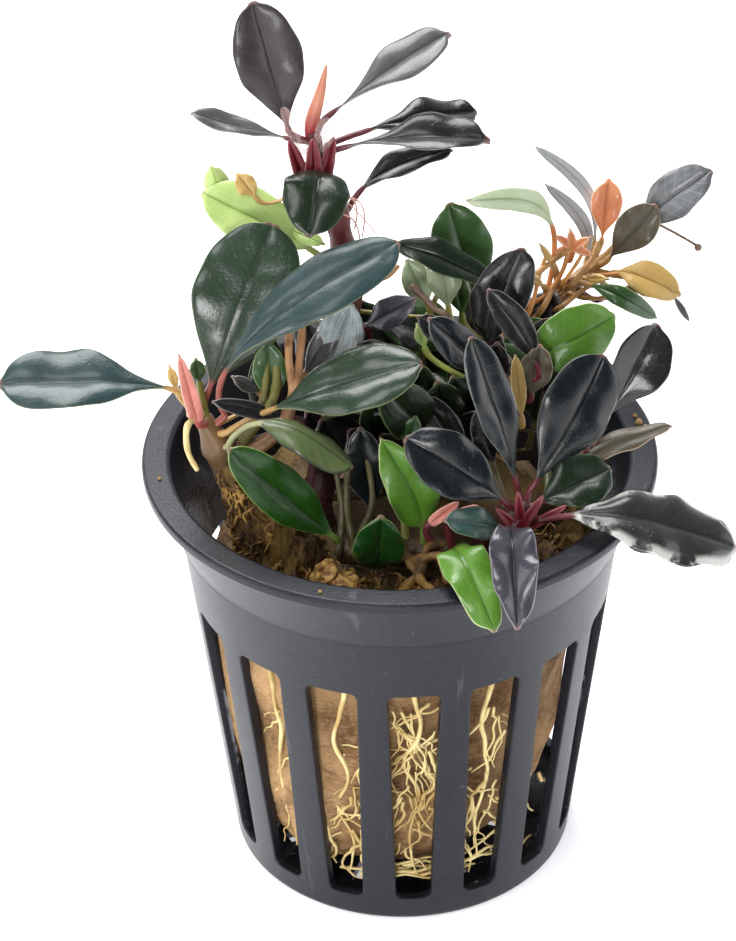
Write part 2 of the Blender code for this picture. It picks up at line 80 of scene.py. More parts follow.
class Value:
    """A number that varies over a surface. Arithmetic on it adds the nodes that work it out."""

    def __init__(self, tree, socket):
        self.tree = tree
        self.socket = socket

    def maths(self, operation, *values):
        return self.tree.node("Math", {"operation": operation}, dict(enumerate(values)))

    def __add__(self, other):
        return self.maths("ADD", self, other)

    __radd__ = __add__

    def __sub__(self, other):
        return self.maths("SUBTRACT", self, other)

    def __rsub__(self, other):
        return self.maths("SUBTRACT", other, self)

    def __mul__(self, other):
        return self.maths("MULTIPLY", self, other)

    __rmul__ = __mul__

    def __pow__(self, other):
        return self.maths("POWER", self, other)

    def __abs__(self):
        return self.maths("ABSOLUTE", self)


class Nodes:
    """The nodes of one material or of the surroundings."""

    def __init__(self, tree):
        self.tree = tree

    def feed(self, socket, what):
        if isinstance(what, Value):
            self.tree.links.new(what.socket, socket)
        elif socket.type == "RGBA" and len(what) == 3:
            socket.default_value = (*what, 1)
        else:
            socket.default_value = what

    def node(self, kind, settings=None, inputs=None, output=0):
        made = self.tree.nodes.new("ShaderNode" + kind)
        for setting, choice in (settings or {}).items():
            setattr(made, setting, choice)
        for place, what in (inputs or {}).items():
            self.feed(made.inputs[place], what)
        return Value(self, made.outputs[output])

    def between(self, value, low, high):
        """0 up to low, 1 from high on, and smooth between them."""
        return self.node("MapRange", {"interpolation_type": "SMOOTHSTEP"},
                         {"Value": value, "From Min": low, "From Max": high})

    def mix(self, share, first, second):
        """The first colour, and the second where the share is 1."""
        return self.node("Mix", {"data_type": "RGBA"}, {0: share, 6: first, 7: second}, 2)


def add_light(name, place, size, watts):
    """A soft square light that points at the plant, with its place and size in metres."""
    lamp = bpy.data.lights.new(name, "AREA")
    lamp.size = size
    lamp.energy = watts
    thing = bpy.data.objects.new(name, lamp)
    scene.collection.objects.link(thing)
    place = Vector(place)
    aim = (AIM - place).to_track_quat("-Z", "Y")
    thing.matrix_world = Matrix.Translation(place) @ aim.to_matrix().to_4x4()


add_light("overhead", (-0.08, 0.20, 0.40), 0.30, 3.0)
add_light("front_softbox", (-0.16, -0.26, 0.46), 0.18, 0.7)
add_light("front_window", (-0.118, -0.460, 0.162), 0.14, 1.1)
add_light("left_window", (-0.44, -0.14, 0.16), 0.30, 0.9)
add_light("right_window", (0.44, -0.06, 0.16), 0.30, 0.7)

surroundings = bpy.data.worlds.new("white_room")
surroundings.use_nodes = True
scene.world = surroundings
room = Nodes(surroundings.node_tree)
direction = room.node("TexCoord", output="Generated")
towards_camera = room.node("VectorMath", {"operation": "DOT_PRODUCT"}, {0: direction, 1: back}, "Value")
darker = room.between(towards_camera, -0.1, 0.6)
height = room.node("VectorMath", {"operation": "DOT_PRODUCT"}, {0: direction, 1: (0, 0, 1)}, "Value")
walls = room.mix(room.between(height, 0.2, 0.6), (0.93, 0.95, 1.0), (0.40, 0.41, 0.44))
room.feed(surroundings.node_tree.nodes["Background"].inputs["Color"],
          room.mix(darker, walls, (0.11, 0.115, 0.13)))

# The table: a smooth matt white board, wider than the view, so bright that its edge can't be told
# from the walls behind. It is the only thing here that isn't part of the plant or its pot.


class Finish(Nodes):
    """One material. Its fixed numbers go on the shader itself, and what varies is joined to it."""

    def __init__(self, name, fixed):
        self.material = bpy.data.materials.new(name)
        self.material.use_nodes = True
        super().__init__(self.material.node_tree)
        self.shader = self.tree.nodes["Principled BSDF"]
        for socket, what in fixed.items():
            self.feed(self.shader.inputs[socket], what)
        self.spot = self.node("TexCoord", output="Object")

    def noise(self, scale, detail=3, roughness=0.55, stretch=None):
        """Cloudy noise, about 0.5 on average, with so many patches to the metre."""
        place = self.spot
        if stretch:
            place = self.node("Mapping", inputs={"Vector": self.spot, "Scale": stretch})
        return self.node("TexNoise", inputs={"Vector": place, "Scale": scale, "Detail": detail,
                                             "Roughness": roughness})

    def cells(self, scale):
        """How far a point is from the middle of the nearest of many small cells."""
        return self.node("TexVoronoi", inputs={"Vector": self.spot, "Scale": scale}, output="Distance")

    def attribute(self, name):
        return self.node("Attribute", {"attribute_name": name}, output="Vector")

    def parts(self, vector):
        """The three numbers of a vector."""
        split = self.node("SeparateXYZ", inputs={0: vector}).socket.node
        return [Value(self, socket) for socket in split.outputs]

    def surface(self, colour, roughness, height, depth, coat=0):
        """Join the colour, the roughness, the relief and the gloss coat to the shader."""
        relief = self.node("Bump", inputs={"Height": height, "Distance": depth, "Strength": 1.0})
        for socket, what in (("Base Color", colour), ("Roughness", roughness), ("Normal", relief),
                             ("Coat Weight", coat)):
            self.feed(self.shader.inputs[socket], what)
        return self.material


TABLE_HALF = 4
bm = bmesh.new()
bmesh.ops.create_grid(bm, x_segments=1, y_segments=1, size=TABLE_HALF)
table_mesh = bpy.data.meshes.new("white_table")
bm.to_mesh(table_mesh)
bm.free()
table = bpy.data.objects.new("white_table", table_mesh)
scene.collection.objects.link(table)
table_finish = Finish("white_table", {"Base Color": (0.93, 0.93, 0.94), "Roughness": 0.5,
                                      "Specular IOR Level": 0.2,
                                      "Emission Color": (0.98, 0.98, 1.0),
                                      "Emission Strength": 0.5})
table_mesh.materials.append(table_finish.material)

# The net pot: one piece of moulded black plastic, with a flat flange round its mouth, a short flared
# collar, and a tapering wall with sixteen long slots. Satin outside, dusty, and scratched inside.
POT_HEIGHT = 50 * MM
RIM_RADIUS = 27.5 * MM
FLANGE_IN = 24.5 * MM
FLANGE_FOOT = 48.7 * MM
COLLAR_TOP_RADIUS = 26.3 * MM
COLLAR_TOP_Z = FLANGE_FOOT - 0.3 * MM
COLLAR_FOOT_Z = 41.8 * MM
COLLAR_STEP = 0.3 * MM
WALL = 1.2 * MM
FLOOR = 1.6 * MM
SLOTS = 16
SLOT_TOP_Z = 34.4 * MM
SLOT_FOOT_Z = 3.4 * MM
SLOT_TOP_WIDTH = 5.7 * MM
SLOT_FOOT_WIDTH = 3.8 * MM
SLOT_CORNER = 0.85 * MM
COLUMNS = 8
TURN = 2 * pi / SLOTS
FLOOR_SLOT_ENDS = (6 * MM, 14.5 * MM)
FLOOR_SLOT_WIDTH = 2.4 * MM
TAPER = 0.116
FOOT_RADIUS = 18.8 * MM
INSIDE_WALL = 17 * MM
TINY = 1e-6


def outer_radius(z):
    """The wall's outer radius below the collar."""
    return FOOT_RADIUS + TAPER * z


def slot_edge(z):
    """The angle from a slot's middle to its side."""
    share = (z - SLOT_FOOT_Z) / (SLOT_TOP_Z - SLOT_FOOT_Z)
    width = SLOT_FOOT_WIDTH + (SLOT_TOP_WIDTH - SLOT_FOOT_WIDTH) * min(1, max(0, share))
    return asin(width / 2 / outer_radius(z))


def in_slot_rows(z):
    return SLOT_FOOT_Z - TINY < z < SLOT_TOP_Z + TINY


wall_rows = [SLOT_FOOT_Z, 14 * MM, 24 * MM, SLOT_TOP_Z]
collar_out = outer_radius(COLLAR_FOOT_Z)
profile = [(0, FLOOR), *[(radius, FLOOR) for radius in FLOOR_SLOT_ENDS],
           (outer_radius(FLOOR) - WALL, FLOOR)]
profile += [(outer_radius(z) - WALL, z) for z in wall_rows]
profile += [
    (collar_out - WALL, COLLAR_FOOT_Z),
    (FLANGE_IN, POT_HEIGHT),
    (RIM_RADIUS, POT_HEIGHT),
    (RIM_RADIUS, FLANGE_FOOT),
    (COLLAR_TOP_RADIUS, COLLAR_TOP_Z),
    (collar_out + COLLAR_STEP, COLLAR_FOOT_Z + COLLAR_STEP),
    (collar_out + COLLAR_STEP, COLLAR_FOOT_Z),
    (collar_out, COLLAR_FOOT_Z - 0.15 * MM),
]
profile += [(outer_radius(z), z) for z in reversed(wall_rows)]
profile += [(outer_radius(0), 0), *[(radius, 0) for radius in reversed(FLOOR_SLOT_ENDS)], (0, 0)]

bm = bmesh.new()
corners = [bm.verts.new((radius, 0, z)) for radius, z in profile]
for above, below in zip(corners, corners[1:]):
    bm.edges.new((above, below))
bmesh.ops.spin(bm, geom=bm.verts[:] + bm.edges[:], cent=(0, 0, 0), axis=(0, 0, 1), angle=2 * pi,
               steps=SLOTS * COLUMNS, use_merge=True)
bmesh.ops.remove_doubles(bm, verts=bm.verts, dist=TINY)
# Two columns of faces on either side of a slot's middle are drawn in to its width
for vertex in bm.verts:
    x, y, z = vertex.co
    if in_slot_rows(z) and hypot(x, y) > INSIDE_WALL:
        around = atan2(y, x)
        slot_middle = round(around / TURN) * TURN
        column = (around - slot_middle) / TURN * COLUMNS
        edge = slot_edge(z)
        turned = column / 2 * edge
        if abs(column) > 2:
            turned = copysign(edge + (abs(column) - 2) / 2 * (TURN / 2 - edge), column)
        vertex.co.xy = Vector((cos(slot_middle + turned), sin(slot_middle + turned))) * hypot(x, y)


def off_floor_slot(co):
    """How far a point is turned from the middle of the nearest slot in the floor, and its number."""
    around = atan2(co.y, co.x)
    number = floor(around / (2 * TURN))
    return around - (2 * number + 1) * TURN, number


for vertex in bm.verts:
    radius = vertex.co.xy.length
    if vertex.co.z < FLOOR + TINY and min(abs(radius - end) for end in FLOOR_SLOT_ENDS) < TINY:
        off, number = off_floor_slot(vertex.co)
        edge = asin(FLOOR_SLOT_WIDTH / 2 / radius)
        share = 2 * abs(off) / TURN
        off = copysign(share * edge if share < 1 else edge + (share - 1) * (TURN - edge), off)
        turned = (2 * number + 1) * TURN + off
        vertex.co.xy = Vector((cos(turned), sin(turned))) * radius


def off_slot(co):
    """How far a point is turned from the nearest slot's middle, and that slot's number."""
    around = atan2(co.y, co.x)
    number = round(around / TURN)
    return abs(around - number * TURN), number % SLOTS


openings = []
for face in bm.faces:
    middle = face.calc_center_median()
    radius = middle.xy.length
    if in_slot_rows(middle.z) and off_slot(middle)[0] < slot_edge(middle.z) and radius > INSIDE_WALL:
        openings.append(face)
    elif middle.z < FLOOR + TINY and FLOOR_SLOT_ENDS[0] < radius < FLOOR_SLOT_ENDS[1]:
        if radius * abs(off_floor_slot(middle)[0]) < FLOOR_SLOT_WIDTH / 2:
            openings.append(face)
bmesh.ops.delete(bm, geom=openings, context="FACES")
# Each opening's two rims are joined; the floor's are numbered below zero, apart from the wall's
pale_edge_and_glint = {}
for edge in bm.edges:
    if edge.is_boundary:
        middle = (edge.verts[0].co + edge.verts[1].co) / 2
        number = off_slot(middle)[1] if middle.z > FLOOR + TINY else off_floor_slot(middle)[1] - SLOTS
        pale_edge_and_glint.setdefault(number, []).append(edge)
for rim in pale_edge_and_glint.values():
    bmesh.ops.bridge_loops(bm, edges=rim)


def slot_corner(vertex):
    at_end = min(abs(vertex.co.z - SLOT_FOOT_Z), abs(vertex.co.z - SLOT_TOP_Z)) < TINY
    return at_end and abs(off_slot(vertex.co)[0] - slot_edge(vertex.co.z)) < 100 * TINY


def round_off(edges, offset, segments):
    bmesh.ops.bevel(bm, geom=edges, offset=offset, offset_type="OFFSET", segments=segments,
                    profile=0.5, affect="EDGES", material=-1)


# The slots' corners are rounded first, and then the edges of the slots, but not the floor or collar
SHARP_TURN = 0.9
round_off([edge for edge in bm.edges if edge.calc_length() < 1.1 * WALL
           and all(slot_corner(vertex) for vertex in edge.verts)], SLOT_CORNER, 4)
round_off([edge for edge in bm.edges if len(edge.link_faces) == 2 and edge.calc_face_angle() > SHARP_TURN
           and all(2 * MM < vertex.co.z < 36 * MM for vertex in edge.verts)], 0.18 * MM, 2)


def round_rings(radius, z, offset, segments):
    """Round one ring of the profile."""
    round_off([edge for edge in bm.edges
               if all(abs(vertex.co.z - z) < TINY and abs(vertex.co.xy.length - radius) < 10 * TINY
                      for vertex in edge.verts)], offset, segments)


round_rings(RIM_RADIUS, POT_HEIGHT, 0.45 * MM, 4)
round_rings(RIM_RADIUS, FLANGE_FOOT, 0.35 * MM, 3)
round_rings(FLANGE_IN, POT_HEIGHT, 0.5 * MM, 4)
round_rings(COLLAR_TOP_RADIUS, COLLAR_TOP_Z, 0.4 * MM, 3)
round_rings(outer_radius(0), 0, 0.9 * MM, 4)


def tint(red, green, blue):
    """A colour as it looks on a screen, 0 to 255, as the amounts of light that the shader wants."""
    return tuple(((part / 255 + 0.055) / 1.055) ** 2.4 for part in (red, green, blue))


def add_piece(name, bm, material, slot, *nodes):
    """Finish a bmesh as a piece that stands for the given solids."""
    bmesh.ops.recalc_face_normals(bm, faces=bm.faces)
    mesh = bpy.data.meshes.new(name)
    bm.to_mesh(mesh)
    bm.free()
    mesh.materials.append(material)
    mesh.shade_smooth()
    piece = bpy.data.objects.new(name, mesh)
    scene.collection.objects.link(piece)
    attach(piece, "root")
    if nodes:
        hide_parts(*nodes)
    return piece


pot = Finish("black_plastic", {"IOR": 1.5, "Specular IOR Level": 0.3, "Coat Roughness": 0.35})
grain = pot.noise(5200, 2)
cloud = pot.noise(90, 4)
dust = pot.between(pot.noise(900, 5, 0.7), 0.60, 0.78)
scratch = pot.between(pot.noise(420, 3, 0.6, (1, 1, 0.06)), 0.64, 0.72)
speckle = pot.noise(2600, 3, 0.7)
smudges = pot.between(pot.noise(150, 3, 0.6), 0.60, 0.70)
colour = pot.mix(cloud * 0.5 + speckle * 0.5, tint(12, 13, 19), tint(34, 36, 46))
colour = pot.mix(dust * 0.25, colour, tint(130, 128, 132))
colour = pot.mix(scratch * 0.15, colour, tint(128, 130, 140))
colour = pot.mix(smudges * 0.5, colour, tint(14, 15, 19))
across, ahead, height_up = pot.parts(pot.spot)
level = pot.node("CombineXYZ", inputs={0: across, 1: ahead})
off_axis = pot.node("VectorMath", {"operation": "LENGTH"}, {0: level}, "Value")
inside = pot.between(off_axis - TAPER * height_up, FOOT_RADIUS - 0.6 * MM, FOOT_RADIUS - 1.0 * MM)
scraped = pot.between(pot.noise(330, 4, 0.7, (1, 1, 0.22)), 0.60, 0.66) * inside
colour = pot.mix(scraped * 0.55, colour, tint(168, 172, 180))
pot_black = pot.surface(colour, 0.26 + 0.16 * cloud + 0.15 * dust - 0.12 * inside,
                        grain * 0.6 + speckle * 0.8 + scratch * 0.25 + cloud * 0.8, 0.05 * MM)
piece = add_piece("pot_moulded", bm, pot_black, "pot", "net_pot")
even = piece.modifiers.new("even shading", "WEIGHTED_NORMAL")
even.keep_sharp = False

# Crumbs of wool and dead root, as small as sand grains, lie loose on the flange, most of them at
# its right side. They and the pieces below are roughened by noise_vector, which without a seed
# starts from the clock and so differs in every run.
noise.seed_set(7)
bm = bmesh.new()
for place, size in (((26, 3.2, 50.1), 0.4), ((26.6, 2.2, 50.1), 0.3), ((25.7, 4.4, 50.1), 0.25),
                    ((-25.6, -3.6, 50.1), 0.2), ((-9.6, -24.6, 50.1), 0.2), ((20.4, -16, 50.1), 0.22)):
    made = bmesh.ops.create_icosphere(bm, subdivisions=3, radius=size * MM)["verts"]
    for vertex in made:
        vertex.co += noise.noise_vector(vertex.co * 2500) * 0.5 * size * MM
    bmesh.ops.translate(bm, verts=made, vec=Vector(place) * MM)
crumb = Finish("crumbs", {"Base Color": tint(150, 118, 70), "Roughness": 0.8})
add_piece("flange_crumbs", bm, crumb.material, "wool")

# The rockwool: a plug of tan mineral fibre, soft and felted, packed into the pot with a slanted right
# side. Brown with a mossy skin on top, where the stems creep over it, and darker at the top, partly
# because the wool is wet and partly as painted shade from the leaves above.
WOOL_FOOT_Z = 3.4 * MM
WOOL_TOP_Z = 43 * MM
WOOL_TOP_RADIUS = 19.2 * MM
WOOL_FOOT_RADIUS = 15.6 * MM
WOOL_SLANT = 3.2 * MM
WOOL_LEFT_BULGE = 0.8 * MM
WOOL_BULGE = 1.9
bm = bmesh.new()
bmesh.ops.create_uvsphere(bm, u_segments=180, v_segments=130, radius=1)
for vertex in bm.verts:
    x, y, z = vertex.co
    around = atan2(y, x)
    ring = hypot(x, y)
    level = 0.5 + 0.5 * copysign(abs(z) ** 0.3, z)
    radius = (WOOL_FOOT_RADIUS + (WOOL_TOP_RADIUS - WOOL_FOOT_RADIUS) * level) * ring ** 0.25
    radius += 0.35 * MM * ring * (sin(3 * around + 5 * level) + sin(7 * around - 9 * level))
    radius += WOOL_LEFT_BULGE * ring * max(0, -cos(around)) ** 2
    radius -= WOOL_SLANT * ring * max(0, cos(around + 0.5)) * (1 - level)
    rise = 0.7 * MM * ring * level * sin(2.5 * around + 4 * ring)
    co = Vector((radius * cos(around), radius * sin(around),
                 WOOL_FOOT_Z + (WOOL_TOP_Z - WOOL_FOOT_Z) * level + rise))
    out = Vector((cos(around) * ring, sin(around) * ring, z)).normalized()
    lumps = noise.fractal(co * 160, 1.0, 2.0, 5)
    top = min(1, max(0, (co.z - 38 * MM) / (4 * MM)))
    side = ring ** 4 * min(1, max(0, (40 * MM - co.z) / (6 * MM)))
    vertex.co = co + out * (lumps * (0.7 + 1.1 * top) + WOOL_BULGE * side) * MM
wool = Finish("felted_wool", {"Specular IOR Level": 0.25})
height_up = wool.parts(wool.spot)[2]
fibres = wool.noise(1500, 4, 0.65, (1, 1, 2.6))
patches = wool.noise(120, 4, 0.6)
dark = wool.between(wool.noise(330, 4, 0.6), 0.52, 0.68)
mossy = wool.between(height_up, 0.0405, 0.0425) * wool.between(wool.noise(200, 3), 0.42, 0.62)
# Darker at the top: partly wet wool, partly painted shade under the leaves.
wet_and_shaded = wool.between(height_up, 0.036, 0.041)
colour = wool.mix(wool.between(patches, 0.3, 0.7), tint(108, 72, 40), tint(182, 144, 98))
colour = wool.mix(wool.between(fibres, 0.4, 0.75) * 0.4, colour, tint(214, 190, 150))
colour = wool.mix(dark * 0.6, colour, tint(92, 60, 32))
colour = wool.mix(wet_and_shaded * 0.85, colour, tint(56, 40, 20))
colour = wool.mix(mossy * 0.35, colour, tint(130, 106, 40))
wool_tan = wool.surface(colour, 0.85 - 0.25 * wet_and_shaded, fibres + patches * 0.6, 0.35 * MM)
add_piece("wool_plug", bm, wool_tan, "wool", "rockwool")

# The roots: cream, round and a little wavy, they run down between the wool and the wall and show
# through the slots, with finer ones branching from them into a tangle.


def smooth_line(points, per_span):
    """Points on a smooth curve through the given ones, so many from each one to the next."""
    points = [Vector(point) for point in points]
    padded = [2 * points[0] - points[1], *points, 2 * points[-1] - points[-2]]
    line = []
    for before, start, end, after in zip(padded, padded[1:], padded[2:], padded[3:]):
        for step in range(per_span):
            t = step / per_span
            line.append(0.5 * (2 * start + (end - before) * t
                               + (2 * before - 5 * start + 4 * end - after) * t * t
                               + (3 * start - before - 3 * end + after) * t ** 3))
    return [*line, points[-1]]


def draw_out(bm, line, radius, sides=8):
    """A round shape drawn out along a line in millimetres, closed at both ends.

    radius gives its radius in millimetres at a share of its length.
    """
    line = [Vector(point) * MM for point in line]
    steps = len(line) + 1
    made = bmesh.ops.create_uvsphere(bm, u_segments=sides, v_segments=steps, radius=1)["verts"]
    frames = []
    across = Vector((0.3, 0.2, 1)).cross(line[1] - line[0]).normalized()
    for index, point in enumerate(line):
        along = (line[min(index + 1, len(line) - 1)] - line[max(index - 1, 0)]).normalized()
        across = (across - along * across.dot(along)).normalized()
        frames.append((point, along, across, along.cross(across)))
    for vertex in made:
        x, y, z = vertex.co
        ring = round(acos(max(-1, min(1, -z))) / pi * steps)
        reach = radius(min(1, max(0, (ring - 1) / (steps - 2)))) * MM
        if ring in (0, steps):
            point, along, _, _ = frames[0 if ring == 0 else -1]
            vertex.co = point + along * reach * (0.5 if ring else -0.5)
        else:
            point, along, across, over = frames[ring - 1]
            turned = atan2(y, x)
            vertex.co = point + (across * cos(turned) + over * sin(turned)) * reach


def behind_slot(slot, places, inside=0.3):
    """A line just inside the wall: places across one slot, counted from the front one, with heights."""
    line = []
    for across, z in places:
        radius = (outer_radius(z * MM) - WALL) / MM - inside
        around = TURN * slot + across / radius
        line.append((radius * sin(around), -radius * cos(around), z))
    return line


root = Finish("cream_root", {"Specular IOR Level": 0.5})
stain = root.between(root.noise(170, 3), 0.42, 0.62)
colour = root.mix(root.noise(700, 3), tint(212, 188, 118), tint(236, 218, 162))
colour = root.mix(stain * 0.7, colour, tint(166, 128, 58))
cream = root.surface(colour, 0.5, root.noise(2600, 3), 0.06 * MM)

ROOTS = {
    "root_left": (-2, [(-0.9, 36), (0.8, 26), (-0.6, 19), (0.3, 13), (0.8, 7)]),
    "root_front_left": (-1, [(2.2, 36), (-0.6, 27), (1.0, 21), (-1.0, 15), (1.2, 10), (0.2, 6)]),
    "root_front": (0, [(-1.8, 37), (1.2, 29), (-1.2, 24), (1.0, 18), (-0.9, 12), (0.8, 6)]),
    "root_front_right": (1, [(2.4, 36), (-1.0, 28), (0.9, 20), (-0.8, 13), (0.5, 7)]),
}
for name, (slot, places) in ROOTS.items():
    bm = bmesh.new()
    line = smooth_line(behind_slot(slot, [(across * 0.6, z) for across, z in places]), 10)
    line = [point + noise.noise_vector(point * 0.3) * 0.5 for point in line]
    draw_out(bm, line, lambda t: 0.30 * (1 - 0.6 * t) * (1 + 0.12 * sin(25 * t)), 10)
    add_piece(name.replace("root", "cream_root"), bm, cream, "root", name)

# Finer ones wander off between wall and wool: for each slot how many, and between which heights.
# A strand heads down, drifts back to straight down, and goes a step of 1.1 mm at a time.
STEP = 1.1
draws = random.Random(11)
bm = bmesh.new()
for slot, count, low, high in ((-3, 2, 10, 30), (-2, 4, 6, 32), (-1, 18, 5, 26), (0, 40, 5, 34),
                               (1, 22, 5, 30), (2, 3, 6, 20)):
    for strand in range(count):
        across, z = draws.uniform(-2.8, 2.8), draws.uniform(low + 5, high)
        heading = draws.uniform(-2.5, -0.6)
        places = []
        for step in range(draws.randint(6, 12)):
            places.append((across, z))
            heading += draws.uniform(-0.6, 0.6) - 0.15 * (heading + pi / 2)
            across += STEP * cos(heading)
            z = max(5, z + STEP * sin(heading))
        size = draws.uniform(0.10, 0.26)
        inside = draws.uniform(0.1, 0.75)
        line = smooth_line(behind_slot(slot, places, inside), 4)
        line = [point + noise.noise_vector(point * 0.6) * 0.35 for point in line]
        draw_out(bm, line, lambda t: size * (1 - 0.6 * t), 6)
# Some lie round the foot of the wool
for strand in range(12):
    across, z = draws.uniform(-10, 8), draws.uniform(5.4, 8)
    places = []
    for step in range(draws.randint(6, 10)):
        places.append((across, z))
        across += STEP
        z = min(9, max(5.2, z + draws.uniform(-0.5, 0.5)))
    line = smooth_line(behind_slot(0, places, draws.uniform(0.2, 1.2)), 4)
    draw_out(bm, line, lambda t: 0.2 * (1 - 0.4 * t), 6)
add_piece("fine_roots", bm, cream, "root")

# The stems: each shoot's rhizome grows out of the wool, knobbly where old leaves came off. The top
# and the right ones are dark red, the others brown to ochre, and one creeps along the wool in front.


def rhizome_finish(name, young, old, scar):
    finish = Finish(name, {"Specular IOR Level": 0.5})
    grime = finish.between(finish.noise(420, 4, 0.6), 0.46, 0.68)
    streaks = finish.noise(900, 3, 0.6, (1, 1, 0.3))
    colour = finish.mix(finish.noise(260, 3), tint(*young), tint(*old))
    colour = finish.mix(grime * 0.7, colour, tint(*scar))
    low = finish.between(finish.parts(finish.spot)[2], 0.066, 0.050)
    colour = finish.mix(low * 0.8, colour, tint(*[part * 0.8 for part in scar]))
    return finish.surface(colour, 0.45 + 0.3 * grime, streaks + grime * 0.7, 0.12 * MM)


brown = rhizome_finish("brown_rhizome", (150, 112, 66), (104, 76, 44), (66, 46, 26))
red = rhizome_finish("red_rhizome", (120, 40, 44), (80, 28, 34), (56, 30, 28))
ochre_bark = rhizome_finish("ochre_rhizome", (190, 146, 82), (150, 104, 52), (104, 66, 34))
dull_bark = rhizome_finish("dull_rhizome", (120, 96, 78), (92, 70, 56), (58, 42, 32))

STEMS = {
    "stem_top": ([(-9, -2, 38), (-8.8, -1.4, 46), (-7, 2, 56), (-5, 6.6, 66), (-6, 9.4, 74),
                  (-8.4, 11, 82.8)], 1.7, 1.15, red),
    "stem_left": ([(-14.5, -6, 37), (-15.8, -6.2, 45), (-18, -5.8, 52), (-20.6, -5, 58.5)],
                  2.4, 1.6, brown),
    "stem_right": ([(8.5, -9, 37), (9, -10, 44), (11, -13, 49), (12, -15, 52.5)], 2.2, 1.5, red),
    "stem_side": ([(14, -3, 38), (15.5, -4.5, 45), (18.5, -7, 51), (19.6, -7.8, 55)],
                  1.6, 1.1, dull_bark),
    "stem_middle": ([(5, 3, 38), (6, 2.5, 46), (9, 0, 54), (12, -2.5, 60)], 1.8, 1.3, brown),
    "stem_back": ([(8, 8, 38), (8.6, 8.8, 46), (11, 12, 53), (16, 14.8, 57), (22.4, 18, 61)],
                  1.8, 1.2, ochre_bark),
    "rhizome_front": ([(-7, -11, 45.4), (-3, -12.5, 45.8), (1, -13, 46.0), (5, -14.5, 46.8)],
                      1.5, 1.4, brown),
}
slots = {part["node"]: part["material_slot"] for part in frame["record"]["subparts"]}
stem_lines = {}
for name, (route, foot_radius, top_radius, bark) in STEMS.items():
    line = smooth_line(route, 10)
    stem_lines[name] = line
    count = len(line) / 5
    line = [point + noise.noise_vector(point * 0.25) * 0.35 for point in line]
    bm = bmesh.new()
    draw_out(bm, line, lambda t: (foot_radius + (top_radius - foot_radius) * t)
             * (1 + 0.16 * max(0, sin(2 * pi * count * t)) ** 3) * min(1, 4.5 * (1.06 - t)) ** 0.5, 14)
    for vertex in bm.verts:
        vertex.co += noise.noise_vector(vertex.co * 700) * 0.22 * MM
    add_piece(name.replace("stem", "bark").replace("rhizome", "bark"), bm, bark, slots[name], name)

# The root mat: dead roots and mossy wool, felted together and brown, rise in a cone round the left
# stem, and lumps of the same lie along the front and right rim.


def add_lump(bm, place, size, rounding):
    """A ball in millimetres, split finely enough to be roughened."""
    made = bmesh.ops.create_icosphere(bm, subdivisions=rounding, radius=size * MM)["verts"]
    bmesh.ops.translate(bm, verts=made, vec=Vector(place) * MM)


def mat_radius(share):
    """The cone's radius in millimetres, from its foot at 0 to its tip at 1."""
    return 5.4 - 3.4 * share ** 0.8


bm = bmesh.new()
mat_line = smooth_line([(-12.5, -9.5, 41), (-13.8, -8, 45.5), (-15.4, -6.6, 50), (-17.4, -6, 54)], 16)
draw_out(bm, mat_line, mat_radius, 64)
for place, size in (((-5.6, -17.4, 43.9), 1.5), ((-7.4, -17, 43.8), 1.3), ((-3.8, -17.8, 43.8), 1.2),
                    ((-1, -18.2, 43.8), 1.1), ((1.6, -18, 44), 1.3), ((4.2, -17.6, 44.3), 1.4),
                    ((-10.4, -16.4, 43.6), 1.2), ((14.5, -14.5, 45), 2), ((17.5, -11.5, 44.6), 1.6),
                    ((17.8, -8.8, 43.4), 2.1), ((18.6, -5.6, 43.2), 2.1), ((19, -2.2, 43), 1.9)):
    add_lump(bm, place, size, 4)
for vertex in bm.verts:
    vertex.co += (noise.noise_vector(vertex.co * 300) + noise.noise_vector(vertex.co * 750) * 0.7
                  + noise.noise_vector(vertex.co * 1700) * 0.25) * MM
mat = Finish("root_mat", {"Specular IOR Level": 0.3})
strings = mat.noise(1100, 4, 0.65, (2.2, 1, 0.7))
gold = mat.between(mat.noise(260, 3), 0.45, 0.62)
colour = mat.mix(mat.between(strings, 0.35, 0.65), tint(40, 27, 12), tint(112, 82, 44))
colour = mat.mix(gold * 0.4, colour, tint(128, 104, 42))
mat_brown = mat.surface(colour, 0.7, strings + gold * 0.4, 0.5 * MM)
add_piece("root_mat", bm, mat_brown, "wool")

# Strings of dead root, brown and golden, lie all over the mat and on the wool inside the rim, with
# three thick ones at the front.
dead = Finish("dead_root", {"Specular IOR Level": 0.4})
colour = dead.mix(dead.between(dead.noise(300, 3), 0.4, 0.6), tint(78, 52, 26), tint(160, 122, 62))
dead_brown = dead.surface(colour, 0.6, dead.noise(1800, 3), 0.1 * MM)
draws = random.Random(23)
bm = bmesh.new()
for strand in range(110):
    share, around = draws.random(), draws.uniform(2.6, 6.2)
    places = []
    for step in range(draws.randint(5, 9)):
        share = max(0, share - draws.uniform(0.01, 0.06))
        around += draws.uniform(-0.28, 0.28)
        reach = mat_radius(share) + 0.1 + draws.uniform(-0.2, 0.7)
        places.append(mat_line[round(share * (len(mat_line) - 1))]
                      + Vector((cos(around), sin(around), 0)) * reach)
    size = draws.uniform(0.10, 0.28)
    draw_out(bm, smooth_line(places, 3), lambda t: size * (1 - 0.5 * t), 6)
for strand in range(80):
    around = draws.uniform(-2.35, -0.5)
    reach = draws.uniform(15.5, 21.5)
    places = []
    for step in range(draws.randint(5, 9)):
        around += draws.uniform(-0.05, 0.05)
        reach = min(21.5, reach + draws.uniform(-0.7, 0.7))
        places.append((reach * cos(around), reach * sin(around), 44.4 + draws.uniform(-0.4, 1.5)))
    size = draws.uniform(0.10, 0.30)
    draw_out(bm, smooth_line(places, 3), lambda t: size * (1 - 0.5 * t), 6)
